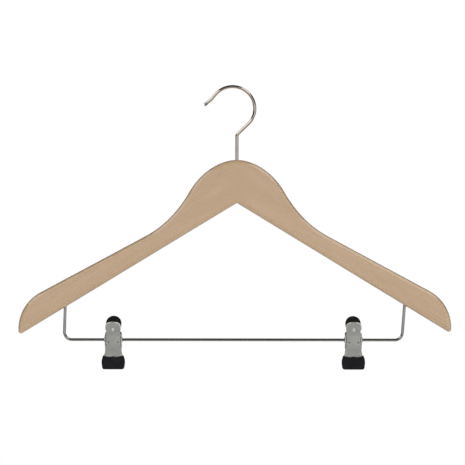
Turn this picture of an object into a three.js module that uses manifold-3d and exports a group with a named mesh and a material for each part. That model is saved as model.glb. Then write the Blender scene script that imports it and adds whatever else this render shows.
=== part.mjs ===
// Wooden shirt hanger with a swivel hook, a wire trouser bar and two sliding spring clips.
// Millimetres, +Z up, the front faces -Y and +X is to the right of someone facing it.
// The origin is the point inside the hook's crown, on the swivel axis, that rests on the rail.

import * as THREE from "three";
import { mergeVertices } from "three/addons/utils/BufferGeometryUtils.js";
import Module from "manifold-3d";

// Stock: the wires and the sheet that the metal pieces are made from.
const HOOK_WIRE = 3.4;
const BAR_WIRE = 3.0;
const SPRING_WIRE = 1.1;
const SHEET = 0.8;

// Clearances between pieces that meet.
const RUN_GAP = 0.2; // a pin turning or sliding in its hole, on the radius
const SEAT_GAP = 0.3; // two pieces that rest against each other
const PRESS_GAP = 0.1; // a pressed-in piece, on the radius

// Hook: a straight shank, a kink and a slant to one side, a lead-in bend, a round crown and a flared ball end.
const CROWN_RADIUS = 22.65;
const CROWN_OFFSET = -4.55;
const CROWN_SPAN = 145;
const LEAD_RADIUS = 21.2; // a little tighter than the crown
const LEAD_SPAN = 41;
const KINK_TURN = 46;
const KINK_RADIUS = 3.0;
const TIP_STRAIGHT = 6.0;
const FLARE_TURN = -10.5;
const FLARE_RADIUS = 8.0;
const FLARE_LENGTH = 6.0;
const BALL_DIAMETER = 4.8;
const SHANK_LENGTH = 25.35; // straight wire showing between the kink and the wood

// Swivel: a flanged steel bush in the neck, and a washer riveted on the foot of the hook.
const BUSH_WALL = 1.5;
const BUSH_BARB = 0.35;
const BUSH_BARBS = 3;
const BUSH_LENGTH = 16.0;
const BUSH_SINK = 0.8;
const WASHER_THICKNESS = 1.0;
const WASHER_DIAMETER = 6.4;
const SPIGOT_DIAMETER = 2.4;
const RIVET_DIAMETER = 4.0;
const RIVET_HEIGHT = 1.0;
const BORE_FLOOR_SPACE = 1.5;

// Wooden body: one board with a domed neck and two straight arms.
const BODY_LENGTH = 440;
const BODY_OFFSET = -1.9; // middle of the length from the swivel axis
const BODY_THICKNESS = 12;
const EDGE_ROUND = 2.2;
const CROTCH_DROP = 43.5; // neck top to the point of the V under it
const UNDERSIDE_ANGLE = 31.3;
const ARM_TOP_DROP = 27.7; // neck top to where the arms' upper edges would meet
const ARM_TOP_ANGLE = 28.25;
const ARM_START_X = 96;
const FLANK_X = 48;
const FLANK_DROP = 32.1;
const FLANK_ANGLE = 60;
const NECK_EASE = 16;
const FLANK_EASE_UP = 24;
const FLANK_EASE_DOWN = 36;
const ARM_EASE = 12;
const TIP_RADIUS = 42;
const TIP_CORNER = 2.6;

// Trouser bar: one wire, both ends turned up and pressed into the undersides of the arms.
const BAR_SPAN = 343.7; // from corner to corner
const BAR_OFFSET = -3.7; // middle of the bar from the swivel axis
const BAR_DROP = 183.1; // neck top to the bar's centre line
const BAR_BEND = 7.6;
const LEFT_LEG_LEAN = 1.7; // degrees from upright, its top to the right
const RIGHT_LEG_LEAN = 4.3;
const SOCKET_DEPTH = 14;

// Clips: how far each one sits from its end of the bar.
const LEFT_CLIP_INSET = 50.0;
const RIGHT_CLIP_INSET = 49.35;

// Clip jaws: two bent sheets, one nested between the ears of the other.
const EAR_OUTER_HALF = 8.6; // rear jaw, over the ears
const REAR_EAR_RING = 3.5; // ear around its hole
const FRONT_EAR_RING = 1.6;
const MOUTH_STAND = 2.0; // sheet's middle to the closing plane, inside the boot
const JAW_BOTTOM = -28.6;
const JAW_MOUTH_HALF = 9.7;
const JAW_THROAT_HALF = 9.5;
const THROAT_Z = -16;
const WIDE_Z = -22;
const WAIST_HALF = 8.25;
const WAIST_Z = -9.4;
const EAR_Z = 4.6;
const TAB_NECK_HALF = 6.95;
const TAB_NECK_Z = 8.2;
const TAB_HALF = 7.95;
const FRONT_TAB_WIDE_Z = 12.3;
const FRONT_TAB_TOP = 18.6;
const FRONT_TAB_FULLNESS = 0.78; // how square the tab's end is, where 0.55 is an ellipse
const REAR_TAB_WIDE_Z = 16.6;
const REAR_TAB_TOP = 24.1;
const REAR_TAB_FULLNESS = 0.55;
const TAB_BEND = 2.2; // from the top of the front ears to the corner of the tab's bend
const FRONT_TAB_LEAN = 35;
const REAR_TAB_LEAN = 17;
const DIMPLE_X = 5.0;
const DIMPLE_Z = -2.4;
const DIMPLE_RADIUS = 1.1;
const DIMPLE_DEPTH = 0.35;

// Pivot tube: a hollow rivet through all four ears, sliding on the bar.
const TUBE_WALL = 0.5;
const TUBE_RIM = 0.6;
const TUBE_RIM_LENGTH = 0.5;

// Torsion spring, wound around the pivot tube, one leg behind each thumb tab.
const SPRING_OPENING = 0.5; // between turns
const SPRING_CLEAR = 0.35; // coil to tube, on the radius
const SPRING_END_SPACE = 1.0; // coil to the inner ears
const SPRING_SHEET_SPACE = 1.05; // coil to the sheets
const SPRING_LEG = 13.0;

// Rubber boots over the ends of the jaws.
const BOOT_TOP_SIDE = 0.6; // rubber beside the sheet: at the top, at the widest and at the foot
const BOOT_WIDE_SIDE = 1.9;
const BOOT_FOOT_SIDE = 1.4;
const BOOT_FLOOR = 1.2;
const BOOT_WIDE_Z = -23;
const BOOT_CORNER = 2.4;
const BOOT_SCOOP = 1.2;
const BOOT_WALL = 1.3;
const BOOT_ROUND = 0.8;
const BOOT_CLOSE = 0.15; // from the closing plane to each boot
const POCKET_GAP = 0.2;

// How finely curves are cut.
const ROUND_SIDES = 24;
const WIRE_SIDES = 12;
const BEND_STEP = 11;
const LEAST_STEP = 0.1;
const CURVE_STEPS = 6;
const ROUND_STEPS = 2;
const BODY_STEPS = 12;
const BODY_ROUND_STEPS = 3;
const COIL_STEPS = 8;
const COIL_SIDES = 5;

const rad = THREE.MathUtils.degToRad;

const wasm = await Module();
wasm.setup();

// Solids for joining and cutting, to and from three.js geometry.
function toSolid(geometry) {
  const bare = new THREE.BufferGeometry();
  bare.setAttribute("position", geometry.getAttribute("position"));
  bare.setIndex(geometry.getIndex());
  const welded = mergeVertices(bare, 1e-4);
  return new wasm.Manifold(
    new wasm.Mesh({
      numProp: 3,
      vertProperties: new Float32Array(welded.getAttribute("position").array),
      triVerts: new Uint32Array(welded.getIndex().array),
    }),
  );
}

function toGeometry(solid) {
  const mesh = solid.getMesh();
  const geometry = new THREE.BufferGeometry();
  geometry.setAttribute("position", new THREE.BufferAttribute(mesh.vertProperties, mesh.numProp));
  geometry.setIndex(new THREE.BufferAttribute(mesh.triVerts, 1));
  geometry.computeVertexNormals();
  return geometry;
}

function join(...geometries) {
  return toGeometry(geometries.map(toSolid).reduce((a, b) => a.add(b)));
}

function cut(geometry, ...tools) {
  return toGeometry(tools.map(toSolid).reduce((a, b) => a.subtract(b), toSolid(geometry)));
}

function overlap(a, b) {
  return toGeometry(toSolid(a).intersect(toSolid(b)));
}

// A wire's centre line, station by station: a straight run is one step and a bend is several.
class WireLine extends THREE.Curve {
  constructor(stations) {
    super();
    this.stations = stations;
  }

  station(u) {
    return this.stations[Math.round(u * (this.stations.length - 1))];
  }

  getPointAt(u) {
    return this.station(u).point.clone();
  }

  getTangentAt(u) {
    return this.station(u).tangent.clone();
  }
}

function wire(stations, diameter, sides) {
  const section = new THREE.Shape();
  section.absarc(0, 0, diameter / 2, 0, 2 * Math.PI);
  return new THREE.ExtrudeGeometry(new THREE.Shape(section.getSpacedPoints(sides).slice(0, sides)), {
    steps: stations.length - 1,
    extrudePath: new WireLine(stations),
  });
}

// Stations of a wire bent in the XZ plane: { run } goes straight on and { turn, radius } bends,
// to the left when the turn is positive. Angles are in degrees, from +X towards +Z.
function bentWire(x, z, heading, moves) {
  const stations = [];
  let angle = rad(heading);
  const mark = () => {
    stations.push({
      point: new THREE.Vector3(x, 0, z),
      tangent: new THREE.Vector3(Math.cos(angle), 0, Math.sin(angle)),
    });
  };
  mark();
  for (const { run, turn, radius } of moves) {
    if (run !== undefined) {
      x += run * Math.cos(angle);
      z += run * Math.sin(angle);
      mark();
      continue;
    }
    const reach = Math.sign(turn) * radius;
    const centreX = x - reach * Math.sin(angle);
    const centreZ = z + reach * Math.cos(angle);
    const first = angle;
    const steps = Math.ceil(Math.abs(turn) / BEND_STEP);
    for (let i = 1; i <= steps; i += 1) {
      angle = first + (rad(turn) * i) / steps;
      x = centreX + reach * Math.sin(angle);
      z = centreZ - reach * Math.cos(angle);
      mark();
    }
  }
  return stations;
}

// A solid of revolution about Z from [radius, height] pairs, going round anticlockwise.
function turned(profile) {
  const points = profile.map(([r, h]) => new THREE.Vector2(r, h));
  return new THREE.LatheGeometry(points, ROUND_SIDES).rotateX(Math.PI / 2);
}

function ring(inner, outer, bottom, top) {
  return turned([[inner, bottom], [outer, bottom], [outer, top], [inner, top], [inner, bottom]]);
}

function rod(radius, bottom, top) {
  return turned([[0, bottom], [radius, bottom], [radius, top], [0, top]]);
}

// A flat shape drawn in XZ, given its depth along Y and centred on y.
function slab(shape, depth, y, round = 0, steps = ROUND_STEPS) {
  const geometry = new THREE.ExtrudeGeometry(shape, {
    depth: depth - 2 * round,
    curveSegments: CURVE_STEPS,
    bevelEnabled: round > 0,
    bevelSize: round,
    bevelThickness: round,
    bevelOffset: -round,
    bevelSegments: steps,
  });
  return geometry.translate(0, 0, -(depth - 2 * round) / 2).rotateX(Math.PI / 2).translate(0, y, 0);
}

// A shape drawn in side view, outward distance against height, given its width along X.
function sideSolid(shape, width, x, outward) {
  const geometry = new THREE.ExtrudeGeometry(shape, {
    depth: width,
    curveSegments: ROUND_SIDES / 2,
    bevelEnabled: false,
  });
  const turn = new THREE.Matrix4().makeBasis(
    new THREE.Vector3(0, outward, 0),
    new THREE.Vector3(0, 0, 1),
    new THREE.Vector3(outward, 0, 0),
  );
  return geometry.translate(0, 0, -width / 2).applyMatrix4(turn).translate(x, 0, 0);
}

// Points along half an outline, without steps too short to keep.
function halfPoints(half, steps) {
  const kept = [];
  for (const p of half.getPoints(steps)) {
    if (kept.length === 0 || p.distanceTo(kept[kept.length - 1]) > LEAST_STEP) {
      kept.push(p);
    }
  }
  return kept;
}

// The whole outline from its right-hand half, which runs from the bottom middle to the top middle.
// The left-hand half is its mirror image, unless another half is given for it.
function mirrored(half, steps = CURVE_STEPS, otherHalf = half) {
  const right = halfPoints(half, steps);
  const left = halfPoints(otherHalf, steps).slice(1, -1).reverse();
  return new THREE.Shape([...right, ...left.map((p) => new THREE.Vector2(-p.x, p.y))]);
}

const steel = new THREE.MeshStandardMaterial({ color: 0xb9b7b1, roughness: 0.22, metalness: 1 });
const jawSteel = new THREE.MeshStandardMaterial({ color: 0xa9aaa6, roughness: 0.34, metalness: 1 });
const springSteel = new THREE.MeshStandardMaterial({ color: 0x8d8c88, roughness: 0.35, metalness: 1 });
const beech = new THREE.MeshStandardMaterial({ color: 0xbca185, roughness: 0.55, metalness: 0 });
const rubber = new THREE.MeshStandardMaterial({ color: 0x222023, roughness: 0.6, metalness: 0 });

const hanger = new THREE.Group();
hanger.name = "shirt_hanger";

function add(parent, name, geometry, material) {
  const mesh = new THREE.Mesh(geometry, material);
  mesh.name = name;
  parent.add(mesh);
  return mesh;
}

// Hook levels, worked down from the rail seat at the origin.
const seatRadius = CROWN_RADIUS - HOOK_WIRE / 2;
const crownZ = -Math.sqrt(seatRadius ** 2 - CROWN_OFFSET ** 2);
const leadEnd = rad(LEAD_SPAN - KINK_TURN);
const leadX = CROWN_OFFSET + (CROWN_RADIUS - LEAD_RADIUS) * Math.cos(leadEnd);
const leadZ = crownZ + (CROWN_RADIUS - LEAD_RADIUS) * Math.sin(leadEnd);
const slantX = leadX + LEAD_RADIUS * Math.cos(rad(KINK_TURN));
const kinkZ = leadZ - LEAD_RADIUS * Math.sin(rad(KINK_TURN)) - slantX / Math.tan(rad(KINK_TURN));
const kinkTrim = KINK_RADIUS * Math.tan(rad(KINK_TURN / 2));
const neckTop = kinkZ - SHANK_LENGTH;

// Swivel levels inside the neck.
const bushTop = neckTop - BUSH_SINK;
const bushBottom = bushTop - BUSH_LENGTH;
const washerTop = bushBottom - SEAT_GAP;
const washerBottom = washerTop - WASHER_THICKNESS;
const shoulderZ = washerTop + SEAT_GAP / 2;
const rivetTop = washerBottom - SEAT_GAP / 2;
const rivetBottom = rivetTop - RIVET_HEIGHT;
const boreBottom = rivetBottom - BORE_FLOOR_SPACE;
const bushBore = HOOK_WIRE / 2 + RUN_GAP;
const bushOuter = bushBore + BUSH_WALL;
const barbOuter = bushOuter + BUSH_BARB;
const boreRadius = barbOuter + PRESS_GAP;

// Hook.
const hookLine = bentWire(0, shoulderZ, 90, [
  { run: kinkZ - kinkTrim - shoulderZ },
  { turn: -KINK_TURN, radius: KINK_RADIUS },
  { run: slantX / Math.sin(rad(KINK_TURN)) - kinkTrim },
  { turn: LEAD_SPAN, radius: LEAD_RADIUS },
  { turn: CROWN_SPAN, radius: CROWN_RADIUS },
  { run: TIP_STRAIGHT },
  { turn: FLARE_TURN, radius: FLARE_RADIUS },
  { run: FLARE_LENGTH },
]);
const hookEnd = hookLine[hookLine.length - 1].point;
const ball = new THREE.SphereGeometry(BALL_DIAMETER / 2, WIRE_SIDES, WIRE_SIDES / 2);
const foot = turned([
  [0, rivetBottom],
  [RIVET_DIAMETER / 2, rivetBottom],
  [RIVET_DIAMETER / 2, rivetTop],
  [SPIGOT_DIAMETER / 2, rivetTop],
  [SPIGOT_DIAMETER / 2, shoulderZ + HOOK_WIRE / 4],
  [0, shoulderZ + HOOK_WIRE / 4],
]);
add(
  hanger,
  "hook",
  join(wire(hookLine, HOOK_WIRE, WIRE_SIDES), foot, ball.translate(hookEnd.x, hookEnd.y, hookEnd.z)),
  steel,
);

// Bush with saw-tooth barbs, and the washer under it.
const barbStep = BUSH_LENGTH / (BUSH_BARBS + 1);
const bushProfile = [[bushBore, bushBottom], [bushOuter, bushBottom]];
for (let i = 0; i < BUSH_BARBS; i += 1) {
  const z = bushBottom + (i + 0.5) * barbStep;
  bushProfile.push([bushOuter, z], [barbOuter, z + barbStep / 2], [bushOuter, z + barbStep / 2]);
}
bushProfile.push([bushOuter, bushTop], [bushBore, bushTop], [bushBore, bushBottom]);
add(hanger, "hook_bush", turned(bushProfile), steel);
add(
  hanger,
  "hook_washer",
  ring(SPIGOT_DIAMETER / 2 + PRESS_GAP, WASHER_DIAMETER / 2, washerBottom, washerTop),
  steel,
);

// Wooden body: half an outline, from the crotch out along the underside, round the tip,
// back along the arm and up over the neck. The reach is from the swivel axis to the tip.
const underSlope = Math.tan(rad(UNDERSIDE_ANGLE));
const topSlope = Math.tan(rad(ARM_TOP_ANGLE));
const undersideZ = (x) => neckTop - CROTCH_DROP - underSlope * Math.abs(x);
const armTopZ = (x) => neckTop - ARM_TOP_DROP - topSlope * x;

function bodyHalf(reach) {
  const cornerX = reach - TIP_CORNER;
  const cornerZ = undersideZ(cornerX) + TIP_CORNER / Math.cos(rad(UNDERSIDE_ANGLE));
  const tipX = reach - TIP_RADIUS;
  const tipTouchX = tipX + TIP_RADIUS * Math.sin(rad(ARM_TOP_ANGLE));
  const tipZ = armTopZ(tipTouchX) - TIP_RADIUS * Math.cos(rad(ARM_TOP_ANGLE));
  const flankZ = neckTop - FLANK_DROP;
  const flank = new THREE.Vector2(Math.cos(rad(FLANK_ANGLE)), -Math.sin(rad(FLANK_ANGLE)));
  const arm = new THREE.Vector2(Math.cos(rad(ARM_TOP_ANGLE)), -Math.sin(rad(ARM_TOP_ANGLE)));
  const half = new THREE.Path();
  half.moveTo(0, undersideZ(0));
  half.lineTo(
    cornerX - TIP_CORNER * Math.sin(rad(UNDERSIDE_ANGLE)),
    cornerZ - TIP_CORNER * Math.cos(rad(UNDERSIDE_ANGLE)),
  );
  half.absarc(cornerX, cornerZ, TIP_CORNER, rad(-90 - UNDERSIDE_ANGLE), 0, false);
  half.absarc(tipX, Math.max(tipZ, cornerZ), TIP_RADIUS, 0, rad(90 - ARM_TOP_ANGLE), false);
  half.lineTo(ARM_START_X, armTopZ(ARM_START_X));
  half.bezierCurveTo(
    ARM_START_X - ARM_EASE * arm.x,
    armTopZ(ARM_START_X) - ARM_EASE * arm.y,
    FLANK_X + FLANK_EASE_DOWN * flank.x,
    flankZ + FLANK_EASE_DOWN * flank.y,
    FLANK_X,
    flankZ,
  );
  half.bezierCurveTo(
    FLANK_X - FLANK_EASE_UP * flank.x,
    flankZ - FLANK_EASE_UP * flank.y,
    NECK_EASE,
    neckTop,
    0,
    neckTop,
  );
  return half;
}

const barZ = neckTop - BAR_DROP;
const cornerX = [BAR_OFFSET - BAR_SPAN / 2, BAR_OFFSET + BAR_SPAN / 2];
const barLegLean = [rad(LEFT_LEG_LEAN), rad(RIGHT_LEG_LEAN)];
// How far each leg runs from its corner to where it enters the wood.
const barLegRun = cornerX.map((x, i) => {
  const slope = Math.sign(x) * underSlope;
  return (undersideZ(x) - barZ) / (Math.cos(barLegLean[i]) + slope * Math.sin(barLegLean[i]));
});
const socketRadius = BAR_WIRE / 2 + PRESS_GAP;
const sockets = cornerX.map((x, i) =>
  rod(socketRadius, barLegRun[i] - BODY_THICKNESS, barLegRun[i] + SOCKET_DEPTH)
    .rotateY(barLegLean[i])
    .translate(x, 0, barZ),
);
const bodyOutline = mirrored(
  bodyHalf(BODY_LENGTH / 2 + BODY_OFFSET),
  BODY_STEPS,
  bodyHalf(BODY_LENGTH / 2 - BODY_OFFSET),
);
add(
  hanger,
  "wooden_body",
  cut(
    slab(bodyOutline, BODY_THICKNESS, 0, EDGE_ROUND, BODY_ROUND_STEPS),
    rod(boreRadius, boreBottom, neckTop + BUSH_LENGTH),
    ...sockets,
  ),
  beech,
);

// Trouser bar: down one leg, along the run and up the other.
const barLegLength = barLegRun.map((run) => run + SOCKET_DEPTH - SEAT_GAP);
const cornerTurn = [90 + LEFT_LEG_LEAN, 90 - RIGHT_LEG_LEAN];
const cornerTrim = cornerTurn.map((turn) => BAR_BEND * Math.tan(rad(turn / 2)));
const barLine = bentWire(
  cornerX[0] + barLegLength[0] * Math.sin(barLegLean[0]),
  barZ + barLegLength[0] * Math.cos(barLegLean[0]),
  -cornerTurn[0],
  [
    { run: barLegLength[0] - cornerTrim[0] },
    { turn: cornerTurn[0], radius: BAR_BEND },
    { run: BAR_SPAN - cornerTrim[0] - cornerTrim[1] },
    { turn: cornerTurn[1], radius: BAR_BEND },
    { run: barLegLength[1] - cornerTrim[1] },
  ],
);
add(hanger, "trouser_bar", wire(barLine, BAR_WIRE, WIRE_SIDES), steel);

// Clip pieces, around the pivot: outward is -1 for the front jaw and +1 for the rear jaw.
const tubeInner = BAR_WIRE / 2 + RUN_GAP;
const tubeOuter = tubeInner + TUBE_WALL;
const earHole = tubeOuter + RUN_GAP;
const rearEarRadius = earHole + REAR_EAR_RING;
const frontEarRadius = earHole + FRONT_EAR_RING;
const earInnerHalf = EAR_OUTER_HALF - SHEET - SEAT_GAP; // front jaw, over its ears
const tubeHalf = EAR_OUTER_HALF + RUN_GAP + TUBE_RIM_LENGTH;
const coilRadius = tubeOuter + SPRING_CLEAR + SPRING_WIRE / 2;
const coilPitch = SPRING_WIRE + SPRING_OPENING;
const coilSpace = 2 * (earInnerHalf - SHEET - SPRING_END_SPACE) - SPRING_WIRE;
const coilTurns = Math.floor(coilSpace / coilPitch - 0.5);
const pivotStand = coilRadius + SPRING_WIRE / 2 + SPRING_SHEET_SPACE + SHEET / 2;

const frontTab = {
  wideZ: FRONT_TAB_WIDE_Z,
  top: FRONT_TAB_TOP,
  fullness: FRONT_TAB_FULLNESS,
  lean: rad(FRONT_TAB_LEAN),
};
const rearTab = {
  wideZ: REAR_TAB_WIDE_Z,
  top: REAR_TAB_TOP,
  fullness: REAR_TAB_FULLNESS,
  lean: rad(REAR_TAB_LEAN),
};
const bendZ = frontEarRadius + TAB_BEND;

// How far the middle of a tab's sheet is from the closing plane at some height above its bend.
function tabStand(tab, z) {
  return pivotStand + (z - bendZ) * Math.tan(tab.lean);
}

// The sheet seen from the side: straight in the boot, out past the pivot, then the leaning tab.
function jawMidline(tab) {
  const bendTop = bendZ + TAB_BEND * Math.cos(tab.lean);
  const above = tab.top + SHEET;
  const line = new THREE.Path();
  line.moveTo(MOUTH_STAND, JAW_BOTTOM - SHEET);
  line.lineTo(MOUTH_STAND, THROAT_Z);
  line.bezierCurveTo(MOUTH_STAND, WAIST_Z, pivotStand, WAIST_Z, pivotStand, -frontEarRadius);
  line.lineTo(pivotStand, frontEarRadius);
  line.quadraticCurveTo(pivotStand, bendZ, tabStand(tab, bendTop), bendTop);
  line.lineTo(tabStand(tab, above), above);
  return line;
}

function sheetEdge(midline) {
  const points = midline.getPoints(CURVE_STEPS);
  const side = (sign) =>
    points.map((p, i) => {
      const before = points[Math.max(i - 1, 0)];
      const after = points[Math.min(i + 1, points.length - 1)];
      const along = after.clone().sub(before).normalize();
      const reach = (sign * SHEET) / 2;
      return new THREE.Vector2(p.x + reach * along.y, p.y - reach * along.x);
    });
  return new THREE.Shape([...side(1), ...side(-1).reverse()]);
}

// The sheet seen from the front, right-hand half, from the mouth up to the top of the tab.
function jawHalf(earHalf, tab) {
  const half = new THREE.Path();
  half.moveTo(0, JAW_BOTTOM);
  half.lineTo(JAW_MOUTH_HALF - SHEET, JAW_BOTTOM);
  half.lineTo(JAW_MOUTH_HALF, JAW_BOTTOM + SHEET);
  half.lineTo(JAW_MOUTH_HALF, WIDE_Z);
  half.lineTo(JAW_THROAT_HALF, THROAT_Z);
  half.quadraticCurveTo(WAIST_HALF, (THROAT_Z + WAIST_Z) / 2, WAIST_HALF, WAIST_Z);
  half.bezierCurveTo(WAIST_HALF, -EAR_Z, earHalf, -EAR_Z, earHalf, -EAR_Z / 2);
  half.lineTo(earHalf, EAR_Z);
  half.bezierCurveTo(earHalf, TAB_NECK_Z, TAB_NECK_HALF, EAR_Z, TAB_NECK_HALF, TAB_NECK_Z);
  const between = (TAB_NECK_Z + tab.wideZ) / 2;
  half.bezierCurveTo(TAB_NECK_HALF, between, TAB_HALF, between, TAB_HALF, tab.wideZ);
  half.bezierCurveTo(
    TAB_HALF,
    tab.wideZ + tab.fullness * (tab.top - tab.wideZ),
    tab.fullness * TAB_HALF,
    tab.top,
    0,
    tab.top,
  );
  return half;
}

// One ear: a lug from the sheet round the pivot, with the hole for the tube.
function ear(radius, outerFace, side, outward) {
  const lug = new THREE.Shape();
  lug.moveTo(pivotStand, -radius);
  lug.lineTo(pivotStand, radius);
  lug.lineTo(0, radius);
  lug.absarc(0, 0, radius, Math.PI / 2, 1.5 * Math.PI, false);
  const hole = new THREE.Path();
  hole.absarc(0, 0, earHole, 0, 2 * Math.PI, true);
  lug.holes.push(hole);
  return sideSolid(lug, SHEET, side * (outerFace - SHEET / 2), outward);
}

function dimple(x, outward) {
  const sink = (DIMPLE_RADIUS ** 2 + DIMPLE_DEPTH ** 2) / (2 * DIMPLE_DEPTH);
  const face = pivotStand + SHEET / 2;
  return new THREE.SphereGeometry(sink, ROUND_SIDES, ROUND_SIDES / 2).translate(
    x,
    outward * (face - DIMPLE_DEPTH + sink),
    DIMPLE_Z,
  );
}

function jaw(outward, earHalf, earRadius, tab) {
  const reach = tabStand(tab, tab.top) + 2 * SHEET;
  const width = 2 * (JAW_MOUTH_HALF + SHEET);
  const strip = sideSolid(sheetEdge(jawMidline(tab)), width, 0, outward);
  const front = slab(mirrored(jawHalf(earHalf, tab)), reach, (outward * reach) / 2);
  const sheet = overlap(strip, front);
  const lugs = [-1, 1].map((side) => ear(earRadius, earHalf, side, outward));
  return cut(join(sheet, ...lugs), dimple(-DIMPLE_X, outward), dimple(DIMPLE_X, outward));
}

// A boot: a rounded cap with a scooped top edge and a pocket that the sheet fills.
function boot(outward) {
  const pocketHalf = JAW_MOUTH_HALF + POCKET_GAP;
  const pocketTopHalf = JAW_THROAT_HALF + POCKET_GAP;
  const pocketFloor = JAW_BOTTOM - POCKET_GAP;
  const bottom = pocketFloor - BOOT_FLOOR;
  const footHalf = pocketHalf + BOOT_FOOT_SIDE;
  const wideHalf = pocketHalf + BOOT_WIDE_SIDE;
  const topHalf = pocketTopHalf + BOOT_TOP_SIDE;
  const half = new THREE.Path();
  half.moveTo(0, bottom);
  half.lineTo(footHalf - BOOT_CORNER, bottom);
  half.quadraticCurveTo(footHalf, bottom, footHalf, bottom + BOOT_CORNER);
  half.quadraticCurveTo(wideHalf, BOOT_WIDE_Z - BOOT_CORNER, wideHalf, BOOT_WIDE_Z);
  half.quadraticCurveTo(wideHalf, (BOOT_WIDE_Z + THROAT_Z) / 2, topHalf, THROAT_Z);
  half.quadraticCurveTo(topHalf / 2, THROAT_Z - BOOT_SCOOP, 0, THROAT_Z - BOOT_SCOOP);
  const inner = BOOT_CLOSE;
  const outer = MOUTH_STAND + SHEET / 2 + POCKET_GAP + BOOT_WALL;
  const body = slab(mirrored(half), outer - inner, (outward * (inner + outer)) / 2, BOOT_ROUND);
  const pocket = new THREE.Shape([
    new THREE.Vector2(-pocketHalf, pocketFloor),
    new THREE.Vector2(pocketHalf, pocketFloor),
    new THREE.Vector2(pocketHalf, WIDE_Z),
    new THREE.Vector2(pocketTopHalf, THROAT_Z),
    new THREE.Vector2(pocketTopHalf, WAIST_Z),
    new THREE.Vector2(-pocketTopHalf, WAIST_Z),
    new THREE.Vector2(-pocketTopHalf, THROAT_Z),
    new THREE.Vector2(-pocketHalf, WIDE_Z),
  ]);
  return cut(body, slab(pocket, SHEET + 2 * POCKET_GAP, outward * MOUTH_STAND));
}

// How far a spring leg leans out from upright to lie along the inside of its sheet.
function legLean(tab) {
  const stand = coilRadius + (SPRING_WIRE + SHEET) / 2 + SEAT_GAP;
  const reach = Math.hypot(coilRadius, SPRING_LEG);
  const beside = jawMidline(tab).getPoints(CURVE_STEPS).filter((p) => p.y > 0 && p.length() < reach);
  return Math.min(...beside.map((p) => Math.acos(Math.min(1, stand / p.length())) - p.angle()));
}

// Torsion spring about X: down the rear leg, round the coil and up the front leg.
function springStations() {
  const rearLean = legLean(rearTab);
  const frontLean = legLean(frontTab);
  const first = -rearLean;
  const last = -(2 * coilTurns + 1) * Math.PI + frontLean;
  const turns = (first - last) / (2 * Math.PI);
  const span = turns * coilPitch;
  const steps = Math.round(turns * COIL_STEPS);
  const rise = coilPitch / (2 * Math.PI);
  const legEnd = (outward, lean) => {
    const root = new THREE.Vector3(
      (-outward * span) / 2,
      outward * coilRadius * Math.cos(lean),
      -coilRadius * Math.sin(lean),
    );
    const up = new THREE.Vector3(0, outward * Math.sin(lean), Math.cos(lean));
    return { point: root.addScaledVector(up, SPRING_LEG), tangent: up.multiplyScalar(-outward) };
  };
  const stations = [legEnd(1, rearLean)];
  for (let i = 0; i <= steps; i += 1) {
    const angle = first + ((last - first) * i) / steps;
    const y = coilRadius * Math.cos(angle);
    const z = coilRadius * Math.sin(angle);
    stations.push({
      point: new THREE.Vector3(span * (i / steps - 0.5), y, z),
      tangent: new THREE.Vector3(rise, z, -y).normalize(),
    });
  }
  stations.push(legEnd(-1, frontLean));
  return stations;
}

// The least gap between a wire and itself, from points along its centre line.
function leastSelfGap(stations, diameter) {
  const points = [];
  for (let i = 1; i < stations.length; i += 1) {
    for (let k = 0; k < 4; k += 1) {
      points.push(stations[i - 1].point.clone().lerp(stations[i].point, k / 4));
    }
  }
  const along = [0];
  for (let i = 1; i < points.length; i += 1) {
    along.push(along[i - 1] + points[i].distanceTo(points[i - 1]));
  }
  let least = Infinity;
  points.forEach((p, i) => {
    points.forEach((q, k) => {
      if (along[k] - along[i] > 4 * diameter) {
        least = Math.min(least, p.distanceTo(q) - diameter);
      }
    });
  });
  return least;
}

const spring = springStations();
console.log(`spring: least gap to itself ${leastSelfGap(spring, SPRING_WIRE).toFixed(2)} mm`);

function clip(side, x) {
  const group = new THREE.Group();
  group.name = `${side}_clip`;
  group.position.set(x, 0, barZ);
  const tube = turned([
    [tubeInner, -tubeHalf],
    [tubeOuter + TUBE_RIM, -tubeHalf],
    [tubeOuter + TUBE_RIM, -tubeHalf + TUBE_RIM_LENGTH],
    [tubeOuter, -tubeHalf + TUBE_RIM_LENGTH],
    [tubeOuter, tubeHalf - TUBE_RIM_LENGTH],
    [tubeOuter + TUBE_RIM, tubeHalf - TUBE_RIM_LENGTH],
    [tubeOuter + TUBE_RIM, tubeHalf],
    [tubeInner, tubeHalf],
    [tubeInner, -tubeHalf],
  ]);
  add(group, `${side}_pivot_tube`, tube.rotateY(Math.PI / 2), jawSteel);
  add(group, `${side}_spring`, wire(spring, SPRING_WIRE, COIL_SIDES), springSteel);
  add(group, `${side}_rear_jaw`, jaw(1, EAR_OUTER_HALF, rearEarRadius, rearTab), jawSteel);
  add(group, `${side}_front_jaw`, jaw(-1, earInnerHalf, frontEarRadius, frontTab), jawSteel);
  add(group, `${side}_rear_boot`, boot(1), rubber);
  add(group, `${side}_front_boot`, boot(-1), rubber);
  return group;
}

hanger.add(clip("left", cornerX[0] + LEFT_CLIP_INSET), clip("right", cornerX[1] - RIGHT_CLIP_INSET));

export default hanger;
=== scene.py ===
# %% [markdown]
# # A wooden shirt hanger
# The real thing is a flat board of pale beech, with a wire hook that turns in its neck, a bent wire bar
# under the arms for trousers, and two sprung clips that slide on the bar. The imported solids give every
# place and size, and this lesson dresses them: each piece is made again with finer curves and a finish of
# its own, rides on the same body as its solid and stands for it. Sizes are in millimetres, because that is
# how such fittings are drawn, and become metres when a mesh is made.

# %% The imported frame
import math

import bmesh
import bpy
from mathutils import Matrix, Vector
from mathutils.geometry import delaunay_2d_cdt


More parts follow.
